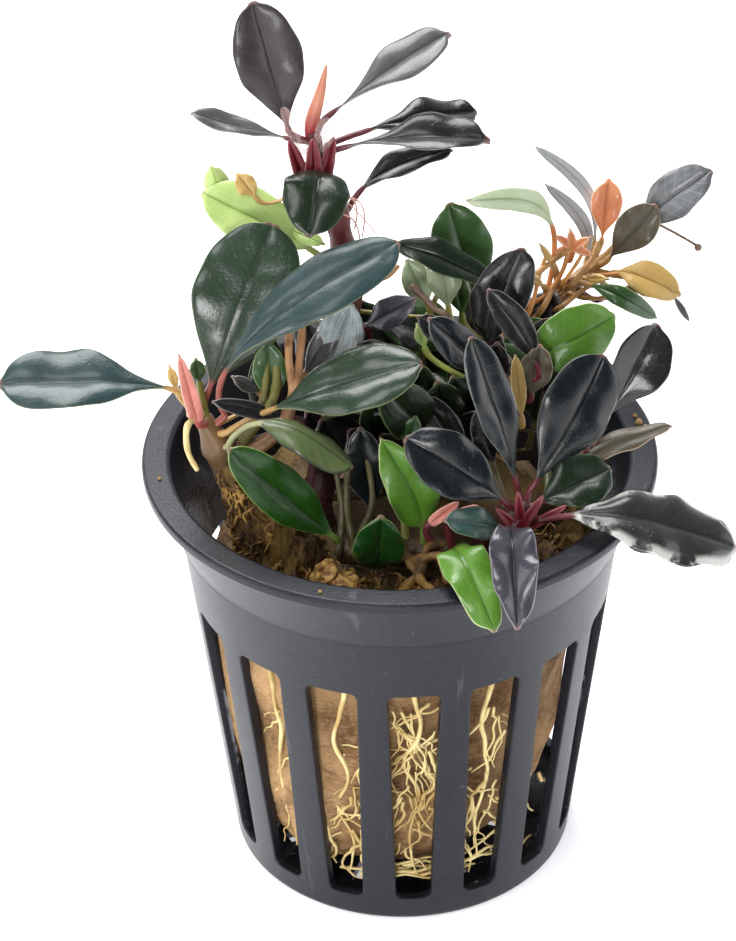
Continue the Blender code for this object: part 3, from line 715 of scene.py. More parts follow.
for size, *places in (
        (0.55, (-1.1, -14, 47.4), (0.6, -16, 47.2), (3.1, -16.5, 47.9), (3.8, -17.5, 45.2)),
        (0.5, (-0.9, -18, 44.9), (1, -17, 46.4), (2, -15, 48), (3.8, -14, 47.4)),
        (0.45, (-0.1, -15.5, 46.9), (1.2, -18, 45.8), (2.8, -18.9, 44.6))):
    draw_out(bm, smooth_line(places, 8), lambda t: size * (1 + 0.2 * sin(19 * t)), 12)
add_piece("dead_roots", bm, dead_brown, "wool")

# A golden lump of clean root fibre lies on the wool just inside the rim, at the front left, as three
# balls grown together.
bm = bmesh.new()
for place, size in (((-8.8, -17.2, 45.9), 1.7), ((-6.8, -17.5, 45.7), 1.4), ((-8, -16.4, 44.6), 1.6)):
    add_lump(bm, place, size, 5)
for vertex in bm.verts:
    vertex.co += (noise.noise_vector(vertex.co * 420) + noise.noise_vector(vertex.co * 1300) * 0.4) * MM
golden = Finish("golden_lump", {"Specular IOR Level": 0.4})
strings = golden.noise(1300, 4, 0.65)
colour = golden.mix(golden.between(strings, 0.4, 0.62), tint(120, 80, 34), tint(206, 164, 92))
add_piece("golden_lump", bm, golden.surface(colour, 0.55, strings, 0.4 * MM), "wool")

# The leaves: tough, thin and satin, each with a channelled midrib, a finely waved margin with a pale
# edge that is partly its own paler colour and partly a painted glint, a short point at its tip, and a
# round fleshy stalk that clasps its stem.
VIEWER = Vector((0, -0.8, 0.6))
STALK_RADIUS = 0.34
WIDEST_STALK = 1.1
BLADE_THICK = 0.32
GROOVE = 0.13
MARGIN = 0.99
RED = (96, 36, 44)
PINK = (158, 88, 78)
OCHRE = (176, 140, 84)
ACROSS = (0, 0.06, 0.15, 0.30, 0.48, 0.66, 0.83, 0.955, 1.0)
AROUND = 4 * (len(ACROSS) - 1)
ALONG = 60


def swell(t, peak):
    """Nothing at either end of a leaf, and 1 at its peak."""
    return sin(pi * min(1, max(0, t)) ** (log(0.5) / log(peak)))


def smooth(t):
    """From 0 to 1 without a kink, and level outside."""
    t = min(1, max(0, t))
    return t * t * (3 - 2 * t)


def nearest_on_stem(foot):
    """The place on a stem that a leaf's foot grows from, a little below the nearest one."""
    found = []
    for line in stem_lines.values():
        for index, point in enumerate(line):
            found.append(((point - foot).length, max(0, index - 1), line))
    _, index, line = min(found, key=lambda choice: choice[0])
    return line[index]


def grow_leaf(bm, foot, tip, width, raised=0, swept=0, peak=0.42, roll=0, fold=16, stalk=0.1,
              widest=0.55, blunt=0.40, taper=1.0, curl=0.10, pillow=0.07, wave=0.22, waves=2.2,
              point=0.3, petiole=RED, thick=1.0, stem=None):
    """One leaf, from its stem to its tip: a closed skin drawn out of a ball.

    Lengths are in millimetres. raised and swept bow its middle up and sideways, most at the peak, a
    share of its length. roll turns it about its length and fold closes it along its midrib, in
    degrees. stalk is the share without a blade, widest where the blade is widest, and taper and
    blunt how fast it narrows towards the foot and the tip. curl turns its margins down, pillow
    swells its halves, and wave and waves are the height and the number of the margin's waves.
    """
    layers = bm.verts.layers.float_vector
    place, skin, hue = (layers.get(name) or layers.new(name) for name in ("place", "skin", "petiole"))
    foot, tip = Vector(foot), Vector(tip)
    seed = foot.x * 1.7 + foot.y * 2.3 + tip.z * 3.1
    along = (tip - foot).normalized()
    face = (VIEWER - along * VIEWER.dot(along)).normalized()
    face.rotate(Matrix.Rotation(radians(roll), 3, along))
    side = along.cross(face)
    start = Vector(stem) if stem else nearest_on_stem(foot)
    length = (tip - foot).length
    lead = (foot - start).length / ((foot - start).length + length)

    def midline(t):
        return foot + (tip - foot) * t + (face * raised + side * swept) * swell(t, peak)

    first = (midline(0.02) - midline(0)).normalized()

    def centre(share):
        """A point of the leaf's middle line, from the stem through the foot to the tip."""
        if share >= lead:
            return midline((share - lead) / (1 - lead))
        u = share / lead
        gap = (foot - start).length
        return (start * (2 * u ** 3 - 3 * u * u + 1) + foot * (3 * u * u - 2 * u ** 3)
                + (foot - start) * (u ** 3 - 2 * u * u + u) + first * gap * 0.6 * (u ** 3 - u * u))

    rings = {}
    for vertex in bmesh.ops.create_uvsphere(bm, u_segments=AROUND, v_segments=ALONG, radius=1)["verts"]:
        x, y, z = vertex.co
        key = round(z, 4)
        if key not in rings:
            share = (1 + z) / 2
            t = (share - lead) / (1 - lead)
            blade = min(1, max(0, (t - stalk) / (1 - stalk)))
            tangent = (centre(min(1, share + 0.004)) - centre(max(0, share - 0.004))).normalized()
            half = width / 2 * max(0, swell(blade, widest)) ** (taper + (blunt - taper) * smooth(blade))
            flat = smooth(blade * 7)
            slim = STALK_RADIUS * (1 + 0.35 * (1 - smooth(share / lead))) * (1 - 0.35 * max(0, t))
            rings[key] = (share, blade, centre(share), tangent, half, flat, min(slim, WIDEST_STALK))
        share, blade, middle, tangent, half, flat, slim = rings[key]
        turned = abs(atan2(y, x)) / pi * (AROUND / 2) if hypot(x, y) > 1e-6 else AROUND / 4
        step = round(AROUND / 4 - turned)
        across = copysign(ACROSS[abs(step)], step) if step else 0.0
        upper = 1 if y > 1e-6 else -1
        ruffle = 1 + 0.014 * sin(2 * pi * waves * 1.7 * blade + seed * 1.3 + across) * flat
        reach = across * max(half * ruffle, slim * (1 - flat) + 0.02)
        tilt = radians(fold) * min(1, 4 * blade)
        lean = min(1, abs(across) / 0.18)
        rib = (side * cos(tilt) + face * sin(tilt) * copysign(lean, across)).normalized()
        normal = rib.cross(tangent).normalized()
        co = middle + side * reach * cos(tilt) + face * abs(reach) * sin(tilt)
        co += face * (pillow * sin(pi * abs(across)) - curl * abs(across) ** 3) * half * flat
        swing = sin(2 * pi * waves * blade + seed + (2.1 if across > 0 else 0))
        co += face * wave * abs(across) ** 1.6 * swing * flat * min(1, half / 2)
        body = BLADE_THICK / 2 * thick * (1 - 0.55 * abs(across)) if abs(across) < MARGIN else 0
        stem_body = slim * (max(0, 1 - across * across)) ** 0.5
        height = body * flat + stem_body * (1 - flat)
        if abs(across) < 0.1:
            groove = (GROOVE if across == 0 else 0.04) * flat * min(1, half / 1.5)
            height += -groove if upper > 0 else 1.9 * groove
        if share in (0, 1) or hypot(x, y) < 1e-6:
            height = 0
        co += normal * height * upper
        co += (tangent - face * 0.5) * point * smooth((share - 0.996) / 0.004)
        dent = noise.noise(co * 0.45 + Vector((seed, 0, 0))) * 0.12 + noise.noise(co * 0.2) * 0.3
        co += face * dent * flat
        vertex[place] = (across, blade, (1 - abs(across)) * max(half, slim))
        vertex[skin] = (0.5 + 0.5 * upper if abs(across) < MARGIN else 0.5, 1 - smooth(blade * 9), seed % 1)
        vertex[hue] = tint(*petiole)
        vertex.co = co * MM


VEINS = 9


def leaf_finish(name, face, deep, vein, under, rim, rough, coat=0.25, mottle=0.5, relief=0.07,
                rim_width=0.11):
    """A leaf's skin: two tones in clouds, fine veins, a dark midrib, a pale edge that is partly a painted
    glint, its own stalk.
    """
    finish = Finish(name, {"IOR": 1.45, "Specular IOR Level": 0.4, "Coat Roughness": 0.16,
                           "Coat IOR": 1.4})
    across, blade, edge = finish.parts(finish.attribute("place"))
    upper, stalk, own = finish.parts(finish.attribute("skin"))
    petiole = finish.attribute("petiole")
    off_rib = abs(across)
    rows = (blade * VEINS - off_rib ** 0.8 * 1.6) * (2 * pi)
    lines = finish.between(rows.maths("SINE", rows), 0.55, 1.0) * finish.between(off_rib, 0.03, 0.2)
    fine = finish.noise(2400, 3, 0.6)
    along = finish.node("CombineXYZ", inputs={0: across * 9, 1: blade * 2.5, 2: own * 40})
    streaks = finish.node("TexNoise", inputs={"Vector": along, "Scale": 1.6, "Detail": 5,
                                              "Roughness": 0.65})
    clouds = finish.between(finish.noise(170, 4, 0.6) * 0.5 + streaks * 0.5, 0.36, 0.64)
    dots = finish.between(finish.cells(1500), 0.32, 0.12) * finish.between(finish.noise(600, 2), 0.45, 0.6)
    midrib = 1 - finish.between(off_rib, 0.015, 0.07)
    colour = finish.mix(clouds * mottle, tint(*face), tint(*deep))
    colour = finish.mix(lines * 0.08 + finish.between(streaks, 0.5, 0.75) * 0.16, colour, tint(*vein))
    colour = finish.mix(midrib * 0.6, colour, tint(*deep))
    colour = finish.mix(1 - finish.between(upper, 0.3, 0.6), colour, tint(*under))
    # The pale edge: partly the margin's own paler colour, partly a painted glint.
    pale_edge_and_glint = 1 - finish.between(edge, 0.3 * rim_width, rim_width)
    # A wide rim, broken up by noise, is a painted highlight along the margin's waves.
    if rim_width > 0.3:
        pale_edge_and_glint = pale_edge_and_glint * finish.between(finish.noise(420, 4, 0.6), 0.42, 0.54)
    colour = finish.mix(pale_edge_and_glint * 0.75, colour, tint(*rim))
    colour = finish.mix(finish.between(blade, 0.994, 1.0) * 0.5, colour, tint(150, 104, 94))
    colour = finish.mix(finish.between(stalk, 0.15, 0.75), colour, petiole)
    worn = finish.between(finish.noise(520, 5, 0.7), 0.56, 0.8)
    roughness = rough + 0.16 * worn + 0.10 * (clouds - 0.5)
    height = lines * -0.07 + fine * 0.45 + dots * 0.3 - midrib * 0.5 + streaks * 0.4
    return finish.surface(colour, roughness, height, relief * MM, coat * (1 - 0.6 * worn))


black_leaf = leaf_finish("black_leaf", (26, 24, 25), (14, 13, 14), (50, 46, 48), (58, 46, 44),
                         (124, 116, 112), 0.27, 0.45)
purple_leaf = leaf_finish("purple_brown_leaf", (56, 48, 52), (28, 25, 27), (88, 80, 84), (86, 66, 66),
                          (70, 66, 70), 0.36, 0.3)
grey_leaf = leaf_finish("grey_leaf", (78, 78, 80), (52, 50, 52), (110, 110, 112), (90, 78, 74),
                        (170, 160, 150), 0.34, 0.4)
silver_leaf = leaf_finish("silver_leaf", (124, 126, 128), (50, 52, 54), (180, 184, 186), (130, 130, 130),
                          (60, 58, 60), 0.30, 0.4, 0.8)
narrow_leaf = leaf_finish("narrow_grey_leaf", (186, 188, 190), (110, 112, 114), (214, 216, 218),
                          (150, 150, 150), (96, 92, 94), 0.34, 0.4)
blue_leaf = leaf_finish("blue_leaf", (15, 22, 25), (7, 10, 12), (38, 48, 52), (52, 52, 50),
                        (112, 116, 112), 0.27, 0.4)
mirror_leaf = leaf_finish("glossy_black_leaf", (30, 30, 32), (16, 17, 18), (60, 60, 62), (58, 46, 44),
                          (150, 146, 142), 0.2, 0.6, relief=0.03)
# A dark face whose wide white margin is a painted highlight along its waved edge.
painted_rim_highlight = leaf_finish("rim_highlight_leaf", (44, 44, 42), (26, 27, 26), (74, 76, 74), (52, 48, 44),
                        (214, 214, 208), 0.26, 0.5, rim_width=1.2)
plum_leaf = leaf_finish("plum_grey_leaf", (64, 62, 70), (40, 42, 48), (98, 98, 108), (60, 50, 52),
                        (150, 144, 150), 0.26, 0.5)
# A pale grey-white skin that is a painted highlight: the white gloss on the leaf's face.
gloss_painted_leaf = leaf_finish("painted_gloss_leaf", (188, 198, 200), (84, 98, 98), (214, 222, 222), (90, 96, 84),
                         (120, 130, 120), 0.25, 0.4, 0.9)
teal_leaf = leaf_finish("teal_leaf", (46, 74, 68), (26, 44, 38), (78, 104, 98), (60, 70, 56),
                        (120, 130, 110), 0.34, 0.4)
sage_leaf = leaf_finish("grey_green_leaf", (40, 58, 42), (24, 38, 20), (70, 90, 72), (92, 104, 70),
                        (140, 146, 104), 0.24, 0.5)
steel_leaf = leaf_finish("steel_blue_leaf", (44, 64, 66), (26, 44, 34), (78, 100, 102), (92, 104, 70),
                         (136, 142, 104), 0.36, 0.3)
green_leaf = leaf_finish("green_leaf", (28, 68, 14), (12, 38, 8), (58, 100, 36), (64, 104, 42),
                         (130, 150, 80), 0.28, 0.25)
deep_green = leaf_finish("dark_green_leaf", (18, 56, 16), (8, 30, 9), (40, 82, 32), (44, 76, 34),
                         (96, 122, 60), 0.28, 0.4)
deep_leaf = leaf_finish("deep_green_leaf", (22, 38, 20), (11, 21, 12), (44, 64, 38), (56, 76, 44),
                        (110, 122, 84), 0.30, 0.4)
mid_leaf = leaf_finish("mid_green_leaf", (52, 84, 42), (34, 60, 28), (84, 116, 72), (96, 124, 70),
                       (150, 160, 110), 0.32, 0.4)
lime_leaf = leaf_finish("lime_leaf", (190, 212, 132), (140, 180, 80), (206, 222, 160), (160, 186, 100),
                        (206, 214, 160), 0.42, 0.25)
bright_leaf = leaf_finish("bright_leaf", (84, 128, 38), (46, 88, 22), (124, 160, 76), (120, 160, 80),
                          (196, 204, 150), 0.36, 0.35)
ochre_leaf = leaf_finish("ochre_leaf", (200, 168, 100), (164, 124, 60), (212, 184, 120), (180, 150, 90),
                         (220, 196, 150), 0.45, 0.2)
taupe_leaf = leaf_finish("taupe_leaf", (84, 76, 60), (60, 56, 40), (108, 100, 84), (120, 104, 90),
                         (170, 150, 130), 0.42, 0.25)
young_leaf = leaf_finish("young_leaf", (214, 142, 98), (190, 104, 70), (228, 172, 134), (206, 140, 104),
                         (230, 190, 160), 0.40, 0.3)
curled_leaf = leaf_finish("curled_leaf", (84, 98, 58), (34, 46, 24), (140, 150, 108), (40, 48, 34),
                          (24, 26, 22), 0.30, 0.4, rim_width=0.3)
sheath_pink = leaf_finish("pink_sheath", (206, 132, 118), (164, 66, 62), (224, 168, 150), (170, 90, 84),
                          (222, 176, 160), 0.42, 0.3)
pale_leaf = leaf_finish("pale_leaf", (186, 198, 166), (132, 158, 104), (206, 214, 188), (150, 170, 120),
                        (206, 210, 176), 0.38, 0.35)

def make_leaf(node, finish, foot, tip, width, raised, siblings=(), petiole=RED, **form):
    """A leaf, and others on the same stalk a little up from its foot: tip, width, rise of the middle."""
    bm = bmesh.new()
    grow_leaf(bm, foot, tip, width, raised, petiole=petiole, **form)
    fork = Vector(foot) + (Vector(tip) - Vector(foot)).normalized() * 0.8
    for other_tip, other_width, other_raised in siblings:
        grow_leaf(bm, fork, other_tip, other_width, other_raised, stalk=0.2, petiole=petiole, stem=foot)
    add_piece(node.replace("leaf_", "blade_").replace("sheath_", "blade_sheath_"), bm, finish,
              slots[node], node)


# The top shoot: dark brown-purple leaves round a red crown, the tallest nearly upright, with an
# orange furled bud between them, and green leaves lower down on the same stem.
make_leaf("leaf_top_tall", purple_leaf, (-10.6, 11, 83.2), (-13.8, 13, 97), 7.4, 0.6, stalk=0, widest=0.6,
          taper=1.15)
make_leaf("leaf_top_upper_right", grey_leaf, (-7, 11.8, 83.8), (6.2, 17, 90.4), 5.8, 0.5, roll=-35,
          stalk=0.06, widest=0.7, taper=1.2, point=0.6)
make_leaf("leaf_top_right", black_leaf, (-6.3, 10.2, 81), (9.4, 8, 83.2), 6.4, 0.9, roll=-44, fold=22,
          stalk=0.08, widest=0.7, taper=1.15, point=0.7)
make_leaf("leaf_top_behind", black_leaf, (-6.5, 12.9, 80.2), (9.2, 17, 81.2), 5.8, 1, roll=-35, stalk=0.25,
          widest=0.66, curl=0.2, wave=0.5)
make_leaf("leaf_top_lower", black_leaf, (-4.4, 10.6, 74), (6.4, 14, 78.4), 3.8, 0.8, swept=-1.2, roll=-30,
          stalk=0.15, fold=20)
make_leaf("leaf_top_left", grey_leaf, (-10.4, 12.2, 81.6), (-20.4, 14, 84), 2.8, -0.3, roll=30, stalk=0,
          widest=0.66)
make_leaf("leaf_top_front", deep_leaf, (-7.6, 8.6, 79.4), (-9, 1, 76.8), 7, 2, fold=6, stalk=0.05,
          widest=0.48, taper=0.6)
make_leaf("leaf_lime", lime_leaf, (-7.8, 7.6, 70), (-19.6, 8, 77.8), 6.4, 1, roll=10, stalk=0.1, widest=0.6,
          taper=0.7, petiole=(170, 186, 100))
make_leaf("leaf_green_high", deep_leaf, (-3.2, 8.2, 70.9), (10.2, 5, 67.2), 4.4, 1.4, swept=-0.3, roll=-30,
          stalk=0.2, widest=0.45, petiole=(190, 110, 64))
make_leaf("leaf_green_behind", mid_leaf, (10.2, 11.2, 55), (6.2, 11, 73.4), 7, 0.6, stalk=0.4,
          petiole=(120, 130, 60),
          siblings=(((-1, 12.5, 59), 6.2, 1), ((1.5, 11.5, 50.5), 5.6, 0.8), ((18.5, 6.5, 58.5), 5.6, 1)))
bm = bmesh.new()
line = smooth_line([(-8.4, 11, 82.4), (-8.1, 11.3, 84.2), (-7.2, 11.7, 87.2), (-6.5, 12, 90.2)], 8)
draw_out(bm, line, lambda t: 0.10 + 0.66 * swell(0.08 + 0.9 * t, 0.36) ** 0.9, 12)
bud = Finish("orange_bud", {"Coat Roughness": 0.25})
streaks = bud.noise(900, 3, 0.6, (1, 1, 0.25))
colour = bud.mix(streaks, tint(202, 138, 106), tint(176, 98, 72))
colour = bud.mix(bud.between(bud.parts(bud.spot)[2], 0.0865, 0.083), colour, tint(150, 34, 40))
bud_orange = bud.surface(colour, 0.4, streaks, 0.08 * MM, 0.25)
add_piece("bud_furled", bm, bud_orange, "young_leaf", "bud_top")

# The left shoot: large grey-green leaves with a bright satin gloss, one long one reaching out over
# the rim, on pink and ochre stalks from a knobbly tan rhizome.
make_leaf("leaf_left_long", steel_leaf, (-22.2, -5.2, 59.4), (-41.1, -6, 64.5), 8.2, 3.8, peak=0.22,
          roll=34, stalk=0.12, widest=0.66, blunt=0.36, petiole=OCHRE, wave=0.35)
make_leaf("leaf_left_broad", sage_leaf, (-20.4, -3, 59.6), (-12.8, 3, 76.6), 10.8, 1.6, fold=3, stalk=0.06,
          widest=0.6, blunt=0.38, pillow=0.02, curl=0.05, wave=0.12, petiole=PINK)
make_leaf("leaf_left_across", steel_leaf, (-18.4, -5, 59), (-0.2, 0, 75.8), 6.8, 3.6, swept=-2.4, peak=0.3,
          roll=-20, fold=8, stalk=0.1, widest=0.66, petiole=PINK)
make_leaf("leaf_left_pointing", sage_leaf, (-18.2, -6.6, 57.8), (1.6, -9, 66.8), 7.6, 1.5, roll=-28, fold=8,
          stalk=0.24, widest=0.62, petiole=OCHRE)
make_leaf("leaf_left_curled", curled_leaf, (-18.2, -7.4, 56.6), (-5.8, -13, 57.4), 4.6, 4.4, roll=-40,
          fold=-20, stalk=0.3, taper=0.7, petiole=(150, 150, 110))
make_leaf("sheath_left", sheath_pink, (-21.2, -7.2, 59.4), (-22.8, -7, 67.5), 1.9, 0.2, fold=25, stalk=0,
          widest=0.35, taper=0.5, petiole=(170, 84, 78))
# Its pale skin is a painted highlight.
make_leaf("leaf_left_inner", gloss_painted_leaf, (-8.8, 0.8, 58.4), (-5, -1, 69), 5, 0.5, fold=4, swept=0.4,
          stalk=0.2, petiole=OCHRE)
make_leaf("leaf_left_low", deep_leaf, (-16.4, -4, 54), (-13, -1, 65), 3.6, 0.4, stalk=0.3,
          petiole=(120, 130, 60))

# The right shoot: blue-black leaves that stand out like a star from a dark red crown, one long one
# over the rim and one folded down over the pot's front.
make_leaf("leaf_right_left", blue_leaf, (10.4, -15.2, 53), (0, -14, 61), 6.8, 1, roll=8, stalk=0.06,
          widest=0.6)
make_leaf("leaf_right_upright", blue_leaf, (11.4, -13.2, 53.6), (6.8, -10, 70.2), 4.8, 0.6, roll=20,
          fold=14, stalk=0.05, widest=0.6)
make_leaf("leaf_right_large", blue_leaf, (12.8, -13.2, 53.6), (20.6, -7, 65.4), 8, 0.6, roll=20, fold=6,
          stalk=0.03, widest=0.62)
# Its wide white margin is a painted highlight.
make_leaf("leaf_right_over_rim", painted_rim_highlight, (13.8, -15.8, 51.4), (33.4, -18, 48.6), 8.4, 2.6, roll=-35,
          fold=6, stalk=0.1, widest=0.6, blunt=0.34, taper=0.8, wave=0.34, waves=3.6, curl=0.2)
make_leaf("leaf_right_short", deep_leaf, (13.6, -14.6, 52.8), (21, -11.4, 54.4), 6, 0.6, roll=-12, stalk=0,
          widest=0.58, taper=0.8)
make_leaf("leaf_right_front", plum_leaf, (10.4, -16.9, 51.2), (10, -29, 48), 6, 4, swept=0.4, fold=34,
          stalk=0.04, widest=0.56, wave=0.7, waves=2.8)
make_leaf("leaf_right_low", teal_leaf, (10, -15.6, 50), (3.6, -19.2, 54.4), 3.6, 0.6, roll=20, stalk=0.05)
make_leaf("leaf_side_glossy", mirror_leaf, (20.4, -7.4, 56.8), (26.4, -4, 67), 7, 0.6, roll=22, fold=22,
          stalk=0.1, widest=0.64, taper=1.1, pillow=0.01, curl=0.03, wave=0.1, petiole=(206, 150, 140))
make_leaf("leaf_side_taupe", taupe_leaf, (17.6, -9.6, 53.4), (27.8, -7, 56.4), 3.6, 0.5, roll=-45, stalk=0,
          widest=0.45, petiole=PINK)

# The middle and the front: dark leaves in the shade of the others, and bright green ones that grow
# from the rhizome which creeps over the wool.
make_leaf("leaf_middle_left", blue_leaf, (10, -2.6, 60), (3, -5, 69.5), 4.2, 0.6, stalk=0.15)
make_leaf("leaf_middle_right", black_leaf, (14.5, -3.2, 61), (9.4, -1, 70.2), 3.4, 0.6, swept=0.6, fold=16,
          stalk=0.1)
make_leaf("leaf_middle_black", black_leaf, (10.2, 1, 57.8), (13, 3, 72.4), 6.2, 0.6, swept=-1.6, fold=8,
          stalk=0.25)
make_leaf("leaf_middle_green", bright_leaf, (13.9, -0.8, 61.8), (22.5, 1, 65.2), 6.6, 1.8, roll=12, fold=3,
          pillow=0.02, curl=0.04, stalk=0, widest=0.5, taper=0.5, petiole=(120, 150, 60))
make_leaf("leaf_shade_upper", plum_leaf, (-3.6, 4, 63), (1.6, 1, 68.2), 3.4, 0.6, stalk=0.1,
          siblings=(((2.5, 11, 58.5), 5.5, 0.8), ((-1.5, 9, 53), 5.5, 0.6)))
make_leaf("leaf_shade_red", black_leaf, (6.9, -0.9, 53.6), (-4.2, -2.6, 65.2), 4.2, 1, roll=10, stalk=0.45)
make_leaf("leaf_shade_low", deep_leaf, (5.5, -0.5, 48.6), (-2, -9, 64), 6, 1, stalk=0.4,
          petiole=(90, 110, 60), siblings=(((-4, 5, 53), 5.6, 0.8), ((3, 8.5, 54), 5.5, 0.8)))
make_leaf("leaf_front_green", green_leaf, (-7.6, -12.8, 48.2), (-18, -14, 60.5), 5.6, -0.6, stalk=0,
          widest=0.5, taper=1.05, petiole=(90, 110, 46))
make_leaf("leaf_front_bright", bright_leaf, (1.6, -13.2, 49), (-2.5, -12.6, 60), 5.4, 0.4, swept=0.6,
          stalk=0.06, widest=0.38, taper=0.55, blunt=0.55, petiole=(90, 110, 50), wave=0.4)
make_leaf("leaf_front_round", deep_green, (-3.4, -15.1, 45.8), (-3, -17.6, 53.8), 5.6, 0.5, stalk=0,
          widest=0.5, taper=0.5, petiole=(90, 110, 50))
make_leaf("leaf_front_lime", bright_leaf, (3.9, -16.4, 47.6), (7.6, -29.2, 48), 5, 4.8, peak=0.5, roll=-10,
          fold=4, stalk=0.06, petiole=(150, 160, 80), wave=0.6, waves=3)

# Between the shoots: smaller leaves of every colour, most of them in the shade of the large ones,
# each on its own thin stalk, with the young buds and the red sheaths of the crowns.


def make_leaves(name, finish, slot, *rows, **shared):
    """Several small leaves as one piece: for each its foot, its tip, its width and what is special."""
    bm = bmesh.new()
    for foot, tip, width, *special in rows:
        form = dict(shared, **(special[0] if special else {}))
        grow_leaf(bm, foot, tip, width, **form)
    add_piece(name, bm, finish, slot)


draws = random.Random(5)
crowd = []
for number in range(34):
    around = number * 2.4
    out = 3 + 9 * ((number * 0.618) % 1)
    foot = Vector((3 + 1.15 * out * cos(around), 2.5 + 0.75 * out * sin(around), draws.uniform(45, 50)))
    lean = Vector((cos(around + draws.uniform(-0.7, 0.7)), sin(around + draws.uniform(-0.7, 0.7)), 0))
    tip = foot + lean * draws.uniform(1.5, 5) + Vector((0, 0, draws.uniform(9, 14)))
    crowd.append((foot, tip, draws.uniform(4.5, 6.5), {"roll": draws.uniform(-40, 40)}))
make_leaves("shaded_dark_leaves", black_leaf, "black_leaf", *crowd[::2], stalk=0.3, petiole=(70, 60, 40))
make_leaves("shaded_green_leaves", deep_leaf, "green_leaf", *crowd[1::2], stalk=0.3, petiole=(90, 96, 50))
make_leaves("small_dark_leaves", black_leaf, "black_leaf",
            ((7, -6, 51.2), (2.4, -5, 59.9), 3.9), ((6.9, -1, 63.1), (2.2, 0, 66.6), 2.8),
            ((22.5, 14, 59), (27, 12, 61.6), 1.1), ((-10.7, -7, 59.2), (-19.4, -8, 62.5), 1.9),
            petiole=(80, 50, 44))
make_leaves("small_teal_leaves", blue_leaf, "blue_leaf",
            ((-7.5, -4, 57.6), (3.8, -3, 59.8), 3.2), ((-3.5, -9, 47.5), (-4.5, -8, 58.3), 4.3),
            ((9.5, -8, 52.5), (7.8, -7, 59.5), 3.2), petiole=(90, 80, 50))
make_leaves("small_pale_leaves", pale_leaf, "lime_leaf",
            ((3.7, 6, 63.7), (1.5, 7, 69.1), 3.4), ((5.7, 5, 63.6), (4.8, 7, 70.5), 3.8),
            petiole=(170, 160, 80))
make_leaves("small_green_leaves", mid_leaf, "green_leaf",
            ((7.3, 8, 61.2), (6.5, 8, 67), 2.6), ((0.1, -8, 55.5), (1.2, -8, 59.5), 2.2),
            ((-20.9, -3, 61.4), (-21.2, -2, 63.8), 1.8), ((-13.5, -5, 59.2), (-13.7, -3, 66), 3.7),
            petiole=(130, 130, 60))
make_leaves("red_brown_leaf", taupe_leaf, "taupe_leaf",
            ((13.6, -3, 57.8), (14.5, -3, 64.2), 3.7))
make_leaves("small_ochre_leaves", ochre_leaf, "ochre_leaf",
            ((12.7, -4, 55.3), (12, -3, 63.1), 1.7), ((-14.1, 8, 76.8), (-16, 9, 79.3), 2.4),
            ((-23.2, -5, 61.9), (-23.9, -5, 65), 1.1), petiole=OCHRE)
make_leaves("small_grey_leaves", grey_leaf, "silver_leaf",
            ((-10.4, -1, 60.1), (-6.1, 0, 67), 2.8), ((-14.5, -3, 59.8), (-17.3, -3, 62.1), 1.5),
            ((30.3, 12.4, 60.6), (32.2, 12, 57.2), 0.8), petiole=OCHRE)
make_leaves("small_lime_leaves", lime_leaf, "lime_leaf",
            ((-16.8, 9, 73.7), (-18.7, 9, 80.1), 3.2, {"fold": -30}),
            ((-11.3, 8, 73.3), (-7.6, 5, 73.1), 1.8), ((2.8, 0, 62.6), (2, 0, 65.7), 1.5),
            petiole=(170, 180, 90))
make_leaves("pink_buds", sheath_pink, "young_leaf",
            ((18.8, -8, 52.8), (19, -8.4, 55.3), 1.3), ((17.6, -8.4, 52.4), (17.2, -9.2, 54.7), 1.1),
            ((2, -15, 50.9), (5.2, -14, 52.8), 1.5), ((4.4, -14.6, 51.6), (7.2, -14.4, 52.6), 1), fold=30,
            stalk=0, widest=0.4, taper=0.6, point=0.1)
crown_red = leaf_finish("red_sheath", (118, 28, 38), (78, 18, 28), (150, 60, 64), (90, 32, 38),
                        (150, 84, 86), 0.36, 0.3)
make_leaves("crown_sheaths", crown_red, "red_stem",
            ((-8.8, 9.2, 77), (-10.6, 9.6, 82.8), 2), ((-8.2, 8.4, 76.6), (-8.2, 9, 83.2), 2.3),
            ((-7.4, 9, 77.2), (-6, 9.8, 82.8), 1.9), ((10.9, -16, 49.6), (13.8, -15.4, 54.2), 1.3),
            ((11.4, -16, 50.2), (9, -16.2, 53.4), 1.2), ((11.6, -15.8, 50), (11.2, -15.6, 54.8), 1.3),
            ((12.4, -15.6, 50.4), (16.2, -15.6, 53), 1.1), ((10.6, -16, 50), (7.8, -16.4, 52), 1),
            petiole=(120, 24, 34), fold=34, stalk=0, widest=0.35, taper=0.5, point=0.1, wave=0.05)
membrane = Finish("dry_membrane", {"Base Color": tint(176, 146, 142), "Roughness": 0.3, "Alpha": 0.42})
make_leaves("crown_membranes", membrane.material, "young_leaf",
            ((-9.4, 9.8, 81.5), (-11.2, 10.2, 86.6), 1.7), ((-7.2, 9.6, 81.6), (-6.6, 9.8, 85.2), 2.8),
            fold=40, stalk=0, widest=0.6, taper=0.5, blunt=0.3, point=0, thick=0.4)

# Old stalks and bare twigs between the leaves, olive, tan and brown, a few pink hair roots by the
# top shoot, and one cream root that hangs over the left of the mouth.
olive_stalk = rhizome_finish("olive_stalk", (132, 130, 66), (96, 88, 42), (60, 50, 26))
tan_stalk = rhizome_finish("tan_stalk", (184, 138, 96), (150, 106, 66), (110, 74, 44))
orange_stalk = rhizome_finish("orange_stalk", (220, 144, 76), (196, 140, 70), (160, 110, 54))


def add_stalks(name, finish, slot, *rows, sides=9):
    """Round stalks: for each its radius and the places that it runs through."""
    bm = bmesh.new()
    for radius, *places in rows:
        draw_out(bm, smooth_line(places, 8),
                 lambda t: radius * (1.15 - 0.35 * t) * (1 + 0.08 * sin(23 * t)), sides)
    add_piece(name, bm, finish, slot)


